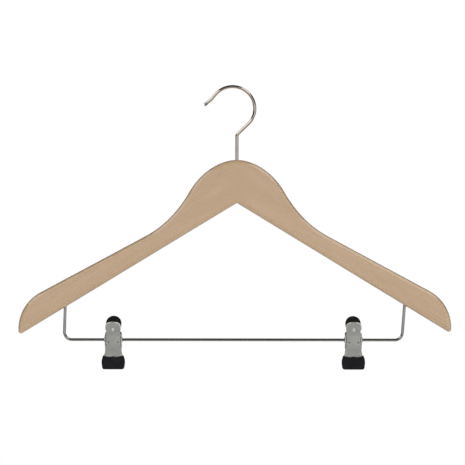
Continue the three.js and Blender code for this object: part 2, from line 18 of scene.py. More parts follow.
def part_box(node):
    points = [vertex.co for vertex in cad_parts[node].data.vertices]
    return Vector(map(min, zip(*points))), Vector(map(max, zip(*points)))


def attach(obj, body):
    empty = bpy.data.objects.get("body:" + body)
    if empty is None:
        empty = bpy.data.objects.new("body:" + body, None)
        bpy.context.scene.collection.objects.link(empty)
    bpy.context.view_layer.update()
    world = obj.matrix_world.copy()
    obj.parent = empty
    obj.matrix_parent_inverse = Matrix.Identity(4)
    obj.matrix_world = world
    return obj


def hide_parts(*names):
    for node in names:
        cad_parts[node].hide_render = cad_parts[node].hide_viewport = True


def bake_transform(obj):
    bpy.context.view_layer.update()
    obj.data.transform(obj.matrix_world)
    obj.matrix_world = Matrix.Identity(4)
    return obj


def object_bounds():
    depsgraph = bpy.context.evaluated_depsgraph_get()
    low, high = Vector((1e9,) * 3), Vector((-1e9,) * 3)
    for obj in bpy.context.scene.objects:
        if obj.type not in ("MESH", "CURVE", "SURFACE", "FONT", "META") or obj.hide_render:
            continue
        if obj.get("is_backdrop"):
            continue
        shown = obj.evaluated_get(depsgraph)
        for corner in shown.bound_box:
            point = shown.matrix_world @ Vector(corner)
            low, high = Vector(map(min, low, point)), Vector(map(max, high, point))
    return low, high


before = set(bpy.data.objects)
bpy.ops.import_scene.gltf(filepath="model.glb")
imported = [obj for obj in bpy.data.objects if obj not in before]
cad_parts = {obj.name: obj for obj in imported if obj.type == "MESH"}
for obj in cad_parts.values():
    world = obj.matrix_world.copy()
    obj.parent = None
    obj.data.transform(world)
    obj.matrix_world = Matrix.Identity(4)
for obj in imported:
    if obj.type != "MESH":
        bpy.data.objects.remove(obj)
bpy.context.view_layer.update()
scene = bpy.context.scene
MM = 0.001


def box_mm(node):
    """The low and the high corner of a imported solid."""
    low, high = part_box(node)
    return Vector(low) / MM, Vector(high) / MM


print("solids in the frame:", len(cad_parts))

# %% [markdown]
# ## Camera
# The photograph looks straight at the front of the board. Its frame is 465 pixels wide, and the board fills
# 433 of them, which gives the width that the picture covers at the board. The front and rear tabs of a clip
# hardly shift against each other, so the lens is long and stands far off, as for a catalogue picture.

# %% The photograph's view
VIEW_WIDTH = 472.2
VIEW_CENTRE = (-4.4, -146.2)
VIEW_DISTANCE = 2500.0
VIEW_ROLL = math.radians(-0.08)
SENSOR_WIDTH = 36.0
CLIP_NEAR = 10.0
CLIP_FAR = 100000.0
front_face = box_mm("wooden_body")[0].y

camera = bpy.data.objects.new("camera", bpy.data.cameras.new("camera"))
camera.data.sensor_width = SENSOR_WIDTH
camera.data.sensor_fit = "HORIZONTAL"
camera.data.lens = SENSOR_WIDTH * VIEW_DISTANCE / VIEW_WIDTH
camera.data.clip_start = CLIP_NEAR * MM
camera.data.clip_end = CLIP_FAR * MM
camera.location = (VIEW_CENTRE[0] * MM, (front_face - VIEW_DISTANCE) * MM, VIEW_CENTRE[1] * MM)
camera.rotation_euler = (math.radians(90), VIEW_ROLL, 0)
scene.collection.objects.link(camera)
scene.camera = camera
print(f"lens {camera.data.lens:.1f} mm")

# %% [markdown]
# ## Shader maths
# A finish is easier to read as sums than as a web of nodes. The first class wraps one number socket, so that
# an expression such as `1 - mask * 0.4` adds the Math nodes for it. Every other node comes from the `node`
# method, which sets the node's own settings first and then fills or links its sockets. Any tree can use it,
# and a finish adds what materials need.

# %% Numbers, nodes and finishes
class Number:
    def __init__(self, nodes, socket):
        self.nodes = nodes
        self.socket = socket

    def _math(self, operation, first, second):
        made = self.nodes.node("ShaderNodeMath", {0: first, 1: second}, operation=operation)
        return Number(self.nodes, made.outputs[0])

    def __add__(self, other):
        return self._math("ADD", self, other)

    __radd__ = __add__

    def __mul__(self, other):
        return self._math("MULTIPLY", self, other)

    __rmul__ = __mul__

    def __sub__(self, other):
        return self._math("SUBTRACT", self, other)

    def __rsub__(self, other):
        return self._math("SUBTRACT", other, self)

    def between(self, low, high):
        """0 below low, 1 above high and a smooth step from one to the other."""
        sockets = {"Value": self, "From Min": low, "From Max": high}
        made = self.nodes.node("ShaderNodeMapRange", sockets, interpolation_type="SMOOTHSTEP")
        return Number(self.nodes, made.outputs["Result"])


class Nodes:
    def __init__(self, tree):
        self.tree = tree
        self.tree.nodes.clear()

    def node(self, kind, sockets=None, **settings):
        made = self.tree.nodes.new(kind)
        for name, value in settings.items():
            setattr(made, name, value)
        for name, value in (sockets or {}).items():
            self.feed(made.inputs[name], value)
        return made

    def feed(self, socket, value):
        if isinstance(value, Number):
            value = value.socket
        if isinstance(value, bpy.types.NodeSocket):
            self.tree.links.new(value, socket)
        else:
            socket.default_value = value

    def number(self, made, output):
        return Number(self, made.outputs[output])


class Finish(Nodes):
    def __init__(self, name, owner=None):
        self.owner = owner or bpy.data.materials.new(name)
        self.owner.use_nodes = True
        super().__init__(self.owner.node_tree)

    def mark(self, name):
        """A number that the mesh carries on its points."""
        return self.number(self.node("ShaderNodeAttribute", attribute_name=name), "Fac")

    def grain(self, per_metre, detail, where=None):
        """Noise with so many grains to a metre on each axis, in the piece's coordinates or in others."""
        where = where or self.node("ShaderNodeTexCoord").outputs["Object"]
        mapped = self.node("ShaderNodeMapping", {"Vector": where, "Scale": per_metre})
        sockets = {"Vector": mapped.outputs[0], "Scale": 1.0, "Detail": detail}
        return self.number(self.node("ShaderNodeTexNoise", sockets), 0)

    def mix(self, factor, first, second):
        return self.node("ShaderNodeMix", {0: factor, 6: first, 7: second}, data_type="RGBA").outputs[2]

    def bump(self, height, depth_mm, strength):
        sockets = {"Height": height, "Distance": depth_mm * MM, "Strength": strength}
        return self.node("ShaderNodeBump", sockets).outputs[0]

    def surface(self, sockets):
        shader = self.node("ShaderNodeBsdfPrincipled", sockets)
        self.node("ShaderNodeOutputMaterial", {"Surface": shader.outputs[0]})
        return self.owner


beech_finish = Finish("lacquered_beech")
print("first finish:", beech_finish.owner.name)

# %% [markdown]
# ## Beech
# Beech is pale and even, with straight grain that hardly shows and short darker flecks along it. In the
# photograph the grain runs out along each arm and turns at the middle of the neck, so the finish first works
# out coordinates that lie along the arm on either side, with one half shifted so that it isn't the mirror
# image of the other. There one noise is drawn out for the growth bands, a finer one for the fibres, and a
# third is cut off high to leave the flecks. No seam shows where the two halves meet, so the grain fades
# towards the middle.

# %% The grain of the arms
GRAIN_ANGLE = math.radians(31)
SEAM_HALF = 0.05 * MM
HALF_SHIFT = 400 * MM
GRAIN_FADE = 24 * MM
BANDS_PER_METRE = (5.0, 70.0, 70.0)
FIBRES_PER_METRE = (60.0, 1500.0, 1500.0)
FLECKS_PER_METRE = (420.0, 2200.0, 2200.0)
FLECK_CUT = (0.64, 0.72)
BAND_SHARE = 0.55
FIBRE_SHARE = 0.45
MEAN_GRAIN = 0.5

spot = beech_finish.node("ShaderNodeTexCoord").outputs["Object"]
spot_axes = beech_finish.node("ShaderNodeSeparateXYZ", {"Vector": spot})
spot_x, spot_y, spot_z = (beech_finish.number(spot_axes, axis) for axis in "XYZ")
right_half = spot_x.between(-SEAM_HALF, SEAM_HALF)
outwards = spot_x * (right_half * 2 - 1)
shift = right_half * HALF_SHIFT
along_arm = outwards * math.cos(GRAIN_ANGLE) - spot_z * math.sin(GRAIN_ANGLE) + shift
across_arm = outwards * math.sin(GRAIN_ANGLE) + spot_z * math.cos(GRAIN_ANGLE) + shift
lie = beech_finish.node("ShaderNodeCombineXYZ", {"X": along_arm, "Y": spot_y, "Z": across_arm}).outputs[0]
bands = beech_finish.grain(BANDS_PER_METRE, 3.0, lie)
fibres = beech_finish.grain(FIBRES_PER_METRE, 2.0, lie)
flecks = beech_finish.grain(FLECKS_PER_METRE, 1.0, lie).between(*FLECK_CUT)
uneven = bands * BAND_SHARE + fibres * FIBRE_SHARE - MEAN_GRAIN
tone = MEAN_GRAIN + uneven * outwards.between(0.0, GRAIN_FADE)
print(f"grain at {math.degrees(GRAIN_ANGLE):.0f} degrees")

# %% [markdown]
# ## Lacquer
# The board's mesh will carry a number, its side, that is 1 on the front, -1 on the back and 0 half-way round
# an edge. Squared, it finds the edge, whose outermost turn gets a painted shade, a little darker, and the
# start of the rounding beside it, which gets a painted highlight, a paler line. The lacquer is a glossy
# coat.
# Its index is high, because the photographed edges mirror the lights plainly.

# %% Lacquered beech
BEECH_DARK = (0.445, 0.301, 0.175, 1)
BEECH_PALE = (0.523, 0.361, 0.221, 1)
EDGE_SHADE_TINT = (0.36, 0.235, 0.14, 1)
ARRIS_HIGHLIGHT_TINT = (0.66, 0.5, 0.33, 1)
FLECK_TINT = (0.33, 0.2, 0.11, 1)

board_side = beech_finish.mark("side")
outer = board_side * board_side
# painted shade: the outermost turn of each rounded edge is darkened
edge = 1 - outer.between(0.50, 0.86)
# painted highlight: a paler line where each rounded edge starts
arris_highlight = outer.between(0.74, 0.85) * (1 - outer.between(0.95, 0.996))
wood = beech_finish.mix(tone.between(0.32, 0.68), BEECH_DARK, BEECH_PALE)
for mask, strength, tint in ((edge, 0.1, EDGE_SHADE_TINT), (arris_highlight, 0.22, ARRIS_HIGHLIGHT_TINT), (flecks, 0.22, FLECK_TINT)):
    wood = beech_finish.mix(mask * strength, wood, tint)
beech = beech_finish.surface(
    {
        "Base Color": wood,
        "Roughness": fibres * 0.12 + 0.42,
        "Coat Weight": 0.9,
        "Coat IOR": 2.0,
        "Coat Roughness": 0.12,
        "Normal": beech_finish.bump(fibres - flecks * 0.4, 0.03, 0.5),
    }
)
print("nodes in the beech finish:", len(beech.node_tree.nodes))

# %% [markdown]
# ## Metals
# The hook and the bar are bright nickel on drawn wire, so their finish has faint pits and a little haze, and
# the hook's ball gets painted shade, a darker tint for the dark room it mirrors. The jaws are stamped from
# sheet and barrel-plated, which leaves them satin outside, while their insides stay smooth and get painted
# shade, a nearly black tint for the dark between them that they mirror. Two numbers on a jaw's mesh say
# where:
# its side, as on the board, and a second one, which is 1 on the pips and the tab's rolled shoulders, where
# the sheet is smoother and less metallic, a painted highlight, and -1 in a dimple, which is painted darker
# as shade.
# The rims are made less metallic too, a painted highlight. The springs are bare drawn wire. One function
# makes all the metals, so that they differ only in what it is given.

# %% Bright wire, satin sheet and spring wire
CLOUDS_PER_METRE = (90.0, 90.0, 90.0)
PITS_PER_METRE = (2600.0, 2600.0, 2600.0)
INSIDE_ROUGHNESS = 0.1


def plated(name, colour, dull, roughness, haze, pit_mm, metal=1.0, inside=None, ball_shade=None):
    """A metal that goes from its colour to a dull one in soft clouds. inside is the painted shade of a jaw's
    inside, a nearly black tint, and the last tint is the painted shade of the hook's round end."""
    finish = Finish(name)
    pits = finish.grain(PITS_PER_METRE, 2.0)
    worn = (finish.grain(CLOUDS_PER_METRE, 3.0) * 0.7 + pits * 0.3).between(0.35, 0.7)
    rough = worn * haze + roughness
    tint = finish.mix(worn, colour, dull)
    # painted shade: the hook's round end is tinted darker, for the dark room it mirrors
    if ball_shade:
        tint = finish.mix(finish.mark("swell").between(1.04, 1.25), tint, ball_shade)
    if inside:
        side = finish.mark("side")
        polish_and_painted_light = finish.mark("polish_and_painted_light")
        outside = side.between(-0.95, -0.7)
        # 1 on pips and rolled shoulders: smoother, and a painted highlight through less metal
        polish_and_glint = polish_and_painted_light.between(0.1, 0.9)
        # painted shade in the dimples
        dimple_shade = (0 - polish_and_painted_light).between(0.2, 0.9)
        rough = rough - (1 - outside) * (roughness - INSIDE_ROUGHNESS) - polish_and_glint * 0.25
        # painted shade: the insides and the dimples take the nearly black inside tint
        tint = finish.mix(outside * (1 - dimple_shade * 0.85), inside, tint)
        # painted highlight: rims, pips and rolled shoulders lose metal, so they look paler
        metal = metal - outside * (1 - side.between(0.75, 0.95)) * 0.6 - polish_and_glint * 0.45
    normal = finish.bump(pits, pit_mm, 0.4)
    return finish.surface({"Base Color": tint, "Metallic": metal, "Roughness": rough, "Normal": normal})


bright_wire = plated(
    "bright_nickel_wire",
    colour=(0.88, 0.78, 0.68, 1),
    dull=(0.80, 0.71, 0.62, 1),
    roughness=0.08,
    haze=0.05,
    pit_mm=0.002,
    # painted shade on the hook's round end, for the dark room it mirrors
    ball_shade=(0.44, 0.39, 0.35, 1),
)
bar_wire = plated(
    "nickel_bar_wire",
    colour=(0.61, 0.60, 0.575, 1),
    dull=(0.53, 0.52, 0.495, 1),
    roughness=0.10,
    haze=0.06,
    pit_mm=0.002,
)
satin_sheet = plated(
    "satin_nickel_sheet",
    colour=(0.81, 0.82, 0.77, 1),
    dull=(0.74, 0.75, 0.71, 1),
    roughness=0.5,
    haze=0.1,
    pit_mm=0.006,
    metal=0.9,
    # painted shade: a nearly black tint for the dark that the insides mirror
    inside=(0.12, 0.115, 0.11, 1),
)
spring_wire = plated(
    "drawn_spring_wire",
    colour=(0.42, 0.41, 0.39, 1),
    dull=(0.30, 0.29, 0.28, 1),
    roughness=0.32,
    haze=0.16,
    pit_mm=0.006,
)
print("metals:", ", ".join(metal.name for metal in (bright_wire, bar_wire, satin_sheet, spring_wire)))

# %% [markdown]
# ## Vinyl
# The boots are dipped soft vinyl, matt and nearly black, rubbed paler in places.

# %% Black vinyl
SPECKS_PER_METRE = (1800.0, 1800.0, 1800.0)
RUBS_PER_METRE = (160.0, 160.0, 160.0)
VINYL_BLACK = (0.0076, 0.0069, 0.0083, 1)
VINYL_RUBBED = (0.0129, 0.0121, 0.0134, 1)

vinyl_finish = Finish("black_vinyl")
speckle = vinyl_finish.grain(SPECKS_PER_METRE, 3.0)
rubbed = vinyl_finish.grain(RUBS_PER_METRE, 4.0)
vinyl = vinyl_finish.surface(
    {
        "Base Color": vinyl_finish.mix(rubbed.between(0.4, 0.75), VINYL_BLACK, VINYL_RUBBED),
        "Roughness": rubbed * 0.16 + 0.48,
        "Specular IOR Level": 0.24,
        "Normal": vinyl_finish.bump(speckle, 0.03, 0.5),
    }
)
print("finishes:", len(bpy.data.materials))

# %% [markdown]
# ## Keeping a piece
# Every piece ends the same way: its mesh is in metres with its place in its vertices, it rides on a body if
# one is given, and its imported solid is hidden, as the piece stands for it.

# %% Meshes, bodies and solids
def face_outwards(mesh, merge=None):
    """Turns all faces outwards, once points closer than merge have become one."""
    shell = bmesh.new()
    shell.from_mesh(mesh)
    if merge:
        bmesh.ops.remove_doubles(shell, verts=shell.verts, dist=merge)
    bmesh.ops.recalc_face_normals(shell, faces=shell.faces)
    shell.to_mesh(mesh)
    shell.free()


def mesh_from(name, points_mm, faces, finish):
    mesh = bpy.data.meshes.new(name)
    mesh.from_pydata([Vector(p) * MM for p in points_mm], [], faces)
    mesh.validate()
    face_outwards(mesh)
    mesh.shade_smooth()
    mesh.materials.append(finish)
    return mesh


def carry(mesh, mark, values):
    """Puts a number on each point of the mesh, for a finish or a tree to read."""
    mesh.attributes.new(mark, "FLOAT", "POINT").data.foreach_set("value", values)


def place(name, mesh):
    piece = bpy.data.objects.new(name, mesh)
    scene.collection.objects.link(piece)
    return piece


def baked(piece):
    """The piece with its modifiers turned into plain mesh."""
    graph = bpy.context.evaluated_depsgraph_get()
    mesh = bpy.data.meshes.new_from_object(piece.evaluated_get(graph))
    old = piece.data
    piece.modifiers.clear()
    piece.data = mesh
    bpy.data.meshes.remove(old)
    return piece


def keep(piece, body, node, slot):
    if body:
        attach(piece, body)
    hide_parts(node)
    print(f"{piece.name}: {len(piece.data.polygons)} faces")
    return piece


def bored(piece, cutters):
    """Cuts holes with closed meshes, which are thrown away afterwards."""
    tools = [place(f"{piece.name}_cutter_{i}", mesh) for i, mesh in enumerate(cutters)]
    for tool in tools:
        cut = piece.modifiers.new(tool.name, "BOOLEAN")
        cut.operation = "DIFFERENCE"
        cut.solver = "EXACT"
        cut.object = tool
    baked(piece)
    for tool in tools:
        mesh = tool.data
        bpy.data.objects.remove(tool)
        bpy.data.meshes.remove(mesh)
    return piece


# %% [markdown]
# ## Pressing a blank
# The board, the jaws and the boots are all flat outlines with a thickness and rounded edges, and the jaws
# are bent afterwards. So one helper makes them all, as a press shop does: it takes the outline of the blank,
# fills it with triangles, rounds its rim and carries each point through a `press` function that says where
# the middle of the sheet goes. An extruded curve could do the flat ones, but not a folded ear. First come
# the helpers that move an outline inwards, strew points over a blank and shape its rim.

# %% Insets, grids and rims
RIM_STEPS = 4
MITRE_LIMIT = 0.4


def inset(loop, distance, share=None):
    """The closed loop moved inwards, mitred at its corners. Loops run anticlockwise, holes clockwise.
    share(point), where given, is the share of the distance that a point moves."""
    moved = []
    for i, here in enumerate(loop):
        before = (here - loop[i - 1]).normalized()
        after = (loop[(i + 1) % len(loop)] - here).normalized()
        side = Vector((-before.y - after.y, before.x + after.x)).normalized()
        reach = max(MITRE_LIMIT, side.dot(Vector((-before.y, before.x))))
        part = share(here) if share else 1.0
        moved.append(here + side * (distance * part / reach))
    return moved


def inside(point, loop):
    odd = False
    for i, a in enumerate(loop):
        b = loop[i - 1]
        if (a.y > point.y) != (b.y > point.y):
            odd ^= point.x < (b.x - a.x) * (point.y - a.y) / (b.y - a.y) + a.x
    return odd


def grid_points(loops, spacing, margin):
    """Points on a grid that lie inside the first loop and outside the others, clear of their edges."""
    edge = [p for loop in loops for p in loop]
    low = Vector((min(p.x for p in edge), min(p.y for p in edge)))
    high = Vector((max(p.x for p in edge), max(p.y for p in edge)))
    shrunk = [inset(loop, margin) for loop in loops]
    found = []
    for row in range(int((high.y - low.y) / spacing) + 1):
        for column in range(int((high.x - low.x) / spacing) + 1):
            p = low + Vector((column + 0.5 * (row % 2), row)) * spacing
            if inside(p, shrunk[0]) and not any(inside(p, hole) for hole in shrunk[1:]):
                found.append(p)
    return found


def rim_levels(half, rounding):
    """How far in and how high each ring round a rounded rim lies, from the upper face to the lower."""
    upper = []
    for k in range(1, RIM_STEPS + 1):
        angle = math.radians(90) * (1 - k / RIM_STEPS)
        upper.append((rounding * (1 - math.cos(angle)), half - rounding * (1 - math.sin(angle))))
    return upper + [(distance, -height) for distance, height in reversed(upper)]


print("rings round a rim:", len(rim_levels(2.0, 1.0)))

# %% The press
SLOPE_REACH = 0.02
GRID_MARGIN = 0.6
FILL_WITH_HOLES = 4
SAME_PLACE = 1e-7


def unbent(x, z):
    """The press of a blank that stays flat."""
    return Vector((x, 0.0, z))


def normal_at(press, p):
    along = press(p.x + SLOPE_REACH, p.y) - press(p.x - SLOPE_REACH, p.y)
    up = press(p.x, p.y + SLOPE_REACH) - press(p.x, p.y - SLOPE_REACH)
    return along.cross(up).normalized()


def pressed(
    name, loops, thickness, rounding, press, finish, spacing, extra=(), show=1, polish_and_painted_light=None, share=None
):
    """A solid from a flat blank. press(x, z) gives the middle of the sheet, show is the side that is
    outside, a second function gives a number at (x, z) for the finish, 1 where the sheet is smoother and
    painted lighter as a highlight and -1 where it is painted darker as shade, and share(point) narrows the
    rounding where a corner is too small for it."""
    half = thickness / 2
    flat = [inset(loop, rounding, share) for loop in loops]
    points = [p for loop in flat for p in loop]
    edges = []
    for loop in flat:
        first = len(edges)
        edges += [(first + i, first + (i + 1) % len(loop)) for i in range(len(loop))]
    inner = grid_points(flat, spacing, spacing * GRID_MARGIN) + list(extra)
    filled = delaunay_2d_cdt(points + inner, edges, [], FILL_WITH_HOLES, SAME_PLACE)
    verts, _, tris, origin = filled[:4]
    rim = {source: new for new, sources in enumerate(origin) for source in sources}
    solid = []
    marks = {"side": [], "polish_and_painted_light": []}

    def lift(p, height):
        solid.append(press(p.x, p.y) + normal_at(press, p) * height)
        marks["side"].append(show * height / half)
        marks["polish_and_painted_light"].append(polish_and_painted_light(p.x, p.y) if polish_and_painted_light else 0.0)
        return len(solid) - 1

    top = [lift(p, half) for p in verts]
    bottom = [lift(p, -half) for p in verts]
    faces = [tuple(top[i] for i in tri) for tri in tris]
    faces += [tuple(bottom[i] for i in reversed(tri)) for tri in tris]
    first = 0
    for loop in loops:
        count = len(loop)
        rim_points = [rim[first + i] for i in range(count)]
        rings = [[top[i] for i in rim_points]]
        for distance, height in rim_levels(half, rounding):
            rings.append([lift(p, height) for p in inset(loop, distance, share)])
        rings.append([bottom[i] for i in rim_points])
        for upper, lower in zip(rings, rings[1:]):
            for i in range(count):
                n = (i + 1) % count
                faces.append((upper[i], lower[i], lower[n], upper[n]))
        first += count
    mesh = mesh_from(name, solid, faces, finish)
    for mark, values in marks.items():
        carry(mesh, mark, values)
    return mesh


print("a flat blank faces", tuple(normal_at(unbent, Vector((0.0, 0.0)))))

# %% [markdown]
# ## Curves for outlines
# Outlines are chains of straight runs, arcs and Bezier curves, drawn for the right-hand half and mirrored.

# %% Drawing helpers
SAME_POINT = 0.02


def bezier(a, b, c, d, steps):
    found = []
    for i in range(1, steps + 1):
        t = i / steps
        s = 1 - t
        weights = (s**3, 3 * s * s * t, 3 * s * t * t, t**3)
        found.append(Vector([sum(w * v for w, v in zip(weights, values)) for values in zip(a, b, c, d)]))
    return found


def flow(start, leaving, end, arriving, steps):
    """A Bezier curve with its two pulls given from its ends."""
    return bezier(start, start + Vector(leaving), end + Vector(arriving), end, steps)


def arc(centre, radius, start, end, steps):
    found = []
    for i in range(steps + 1):
        angle = math.radians(start + (end - start) * i / steps)
        found.append(Vector((centre[0] + radius * math.cos(angle), centre[1] + radius * math.sin(angle))))
    return found


def spaced(points):
    """The points without those that lie on the one before."""
    kept = [points[0]]
    for p in points[1:]:
        if (p - kept[-1]).length > SAME_POINT:
            kept.append(p)
    return kept


def divided(loop, longest):
    """The closed loop with points added on its long runs, which keeps smooth shading even along them."""
    found = []
    for i, here in enumerate(loop):
        there = loop[(i + 1) % len(loop)]
        count = max(1, math.ceil((there - here).length / longest))
        found += [here.lerp(there, k / count) for k in range(count)]
    return found


def mirrored(right_half, left_half=None):
    """The whole loop from two halves that start and end on the middle line, both drawn on the right."""
    right = spaced(right_half)
    left = spaced(left_half or right_half)
    return right + [Vector((-p.x, p.y)) for p in reversed(left[1:-1])]


def step(low, high, value):
    """0 below low, 1 above high and a smooth step from one to the other."""
    t = min(1.0, max(0.0, (value - low) / (high - low)))
    return t * t * (3 - 2 * t)


print("points on a quarter arc:", len(arc((0, 0), 1.0, 0, 90, 12)))

# %% [markdown]
# ## The wooden body
# One board, cut to a domed neck with two straight arms and rounded over on every edge. The outline follows
# the photograph: the neck is a convex curve that turns hollow half-way down its flank and runs out into the
# arm, and each arm ends in a long curve with a small corner under it.

# %% The board's outline
CROTCH_DROP = 43.9
UNDERSIDE_ANGLE = math.radians(31.3)
ARM_TOP_DROP = 27.7
ARM_TOP_ANGLE = math.radians(28.25)
ARM_START_X = 96.0
ARM_PULL = 12.0
FLANK = (48.0, 32.1)
FLANK_ANGLE = math.radians(60)
FLANK_PULL_DOWN = 36.0
FLANK_PULL_UP = 24.0
CROWN_PULL = 16.0
TIP_RADIUS = 42.0
TIP_CORNER = 2.6
BOARD_STEP = 5.0

board_low, board_high = box_mm("wooden_body")
neck_top = board_high.z


def underside(x):
    return neck_top - CROTCH_DROP - math.tan(UNDERSIDE_ANGLE) * abs(x)


def arm_top(x):
    return neck_top - ARM_TOP_DROP - math.tan(ARM_TOP_ANGLE) * x


def tip_corner(reach):
    """The centre of the small corner under the tip of an arm."""
    x = reach - TIP_CORNER
    return Vector((x, underside(x) + TIP_CORNER / math.cos(UNDERSIDE_ANGLE)))


def board_half(reach):
    """One half of the outline, from under the neck round the tip of the arm to the top of the neck."""
    tip_x = reach - TIP_RADIUS
    tip_touch = tip_x + TIP_RADIUS * math.sin(ARM_TOP_ANGLE)
    tip = (tip_x, arm_top(tip_touch) - TIP_RADIUS * math.cos(ARM_TOP_ANGLE))
    flank = Vector((FLANK[0], neck_top - FLANK[1]))
    down_flank = Vector((math.cos(FLANK_ANGLE), -math.sin(FLANK_ANGLE)))
    down_arm = Vector((math.cos(ARM_TOP_ANGLE), -math.sin(ARM_TOP_ANGLE)))
    arm_start = Vector((ARM_START_X, arm_top(ARM_START_X)))
    crown = Vector((0.0, neck_top))
    half = [Vector((0.0, underside(0)))]
    half += arc(tip_corner(reach), TIP_CORNER, -90 - math.degrees(UNDERSIDE_ANGLE), 0, 20)
    half += arc(tip, TIP_RADIUS, 0, 90 - math.degrees(ARM_TOP_ANGLE), 40)
    half += [arm_start]
    half += flow(arm_start, -ARM_PULL * down_arm, flank, FLANK_PULL_DOWN * down_flank, 28)
    half += flow(flank, -FLANK_PULL_UP * down_flank, crown, (CROWN_PULL, 0.0), 28)
    return half


board_outline = divided(mirrored(board_half(board_high.x), board_half(-board_low.x)), BOARD_STEP)
print("points on the board's outline:", len(board_outline))

# %% The board
BOARD_THICKNESS = 12.0
BOARD_ROUNDING = 3.4
FACE_MARGIN = 0.5
CORNER_SHARE = 0.6


def edge_share(p):
    """The rounding narrows round the small corners of the tips, which it would fill otherwise."""
    reach = board_high.x if p.x > 0 else -board_low.x
    near = (Vector((abs(p.x), p.y)) - tip_corner(reach)).length
    return CORNER_SHARE + (1 - CORNER_SHARE) * step(TIP_CORNER, 2 * TIP_CORNER, near)


board_mesh = pressed(
    "board",
    [board_outline],
    BOARD_THICKNESS,
    BOARD_ROUNDING,
    unbent,
    beech,
    spacing=BOARD_STEP,
    extra=inset(board_outline, BOARD_ROUNDING + FACE_MARGIN, edge_share),
    share=edge_share,
)
board = place("board", board_mesh)
print("points in the board:", len(board_mesh.vertices))

# %% [markdown]
# ## Bores
# The neck is bored for the hook and the undersides of the arms for the ends of the bar, whose legs lean a
# little, so their bores lean too. A Boolean modifier cuts each bore with a closed rod.

# %% Bores for the hook and the bar
HOOK_BORE_RADIUS = 3.85
HOOK_BORE_CLEAR = 1.5
SOCKET_RADIUS = 1.6
SOCKET_DEPTH = 14.0
CUT_PAST = 10.0
ROUND_SIDES = 48
BAR_DIAMETER = 3.0
BAR_CORNERS = (-175.55, 168.15)
LEG_LEANS = (math.radians(1.7), math.radians(4.3))
bar_z = box_mm("trouser_bar")[0].z + BAR_DIAMETER / 2
hook_foot = box_mm("hook")[0].z


def prism(name, near, far, finish):
    """A closed solid between two rings of points."""
    n = len(near)
    faces = [(i, (i + 1) % n, n + (i + 1) % n, n + i) for i in range(n)]
    faces += [tuple(range(n)), tuple(range(n, 2 * n))]
    return mesh_from(name, near + far, faces, finish)


def rod_mesh(name, radius, foot, low, high, lean=0.0):
    """A closed rod between two heights over its foot. Its top leans to the right."""
    up = Vector((math.sin(lean), 0.0, math.cos(lean)))
    right = Vector((math.cos(lean), 0.0, -math.sin(lean)))
    back = Vector((0.0, 1.0, 0.0))
    circle = arc((0, 0), radius, 0, 360, ROUND_SIDES)[:-1]
    ends = [[Vector(foot) + right * p.x + back * p.y + up * z for p in circle] for z in (low, high)]
    return prism(name, *ends, beech)


def leg_run(x, lean):
    """How far a leg of the bar runs from its corner to the underside of the arm."""
    slope = math.copysign(math.tan(UNDERSIDE_ANGLE), x)
    return (underside(x) - bar_z) / (math.cos(lean) + slope * math.sin(lean))


leg_runs = [leg_run(x, lean) for x, lean in zip(BAR_CORNERS, LEG_LEANS)]
low, high = hook_foot - HOOK_BORE_CLEAR, neck_top + CUT_PAST
bores = [rod_mesh("hook_bore", HOOK_BORE_RADIUS, (0, 0, 0), low, high)]
for x, lean, run in zip(BAR_CORNERS, LEG_LEANS, leg_runs):
    low, high = run - CUT_PAST, run + SOCKET_DEPTH
    bores.append(rod_mesh("bar_socket", SOCKET_RADIUS, (x, 0, bar_z), low, high, lean))
bored(board, bores)
keep(board, "hanger", "wooden_body", "beech_wood")

# %% [markdown]
# ## Bent wire
# The hook, the bar and the springs are all round wire that follows a path, which is what Geometry Nodes do
# well: the path's points come in as a bare chain of edges, become a curve, and a circle is swept along it. A
# number on each point, its swell, thickens or thins the wire there, for the ball on the hook and its riveted
# foot.

# %% A tree that sweeps wire
bent_wire = bpy.data.node_groups.new("bent_wire", "GeometryNodeTree")
for label, kind in (("Path", "Geometry"), ("Diameter", "Float"), ("Sides", "Int"), ("Finish", "Material")):
    bent_wire.interface.new_socket(label, in_out="INPUT", socket_type=f"NodeSocket{kind}")
bent_wire.interface.new_socket("Wire", in_out="OUTPUT", socket_type="NodeSocketGeometry")
bender = Nodes(bent_wire)
given = bender.node("NodeGroupInput").outputs
chain = bender.node("GeometryNodeMeshToCurve", {0: given["Path"]}).outputs[0]
swell = bender.node("GeometryNodeInputNamedAttribute", {"Name": "swell"}, data_type="FLOAT")
thick = bender.node("GeometryNodeSetCurveRadius", {"Curve": chain, "Radius": swell.outputs["Attribute"]})
half_width = bender.node("ShaderNodeMath", {0: given["Diameter"], 1: 0.5}, operation="MULTIPLY").outputs[0]
circle = bender.node(
    "GeometryNodeCurvePrimitiveCircle",
    {"Radius": half_width, "Resolution": given["Sides"]},
)
swept = bender.node(
    "GeometryNodeCurveToMesh",
    {"Curve": thick.outputs[0], "Profile Curve": circle.outputs[0], "Fill Caps": True},
)
smooth = bender.node("GeometryNodeSetShadeSmooth", {0: swept.outputs[0]})
real = bender.node("GeometryNodeRealizeInstances", {0: smooth.outputs[0]})
coated = bender.node("GeometryNodeSetMaterial", {"Geometry": real.outputs[0], "Material": given["Finish"]})
bender.node("NodeGroupOutput", {0: coated.outputs[0]})
print("nodes in the wire tree:", len(bent_wire.nodes))


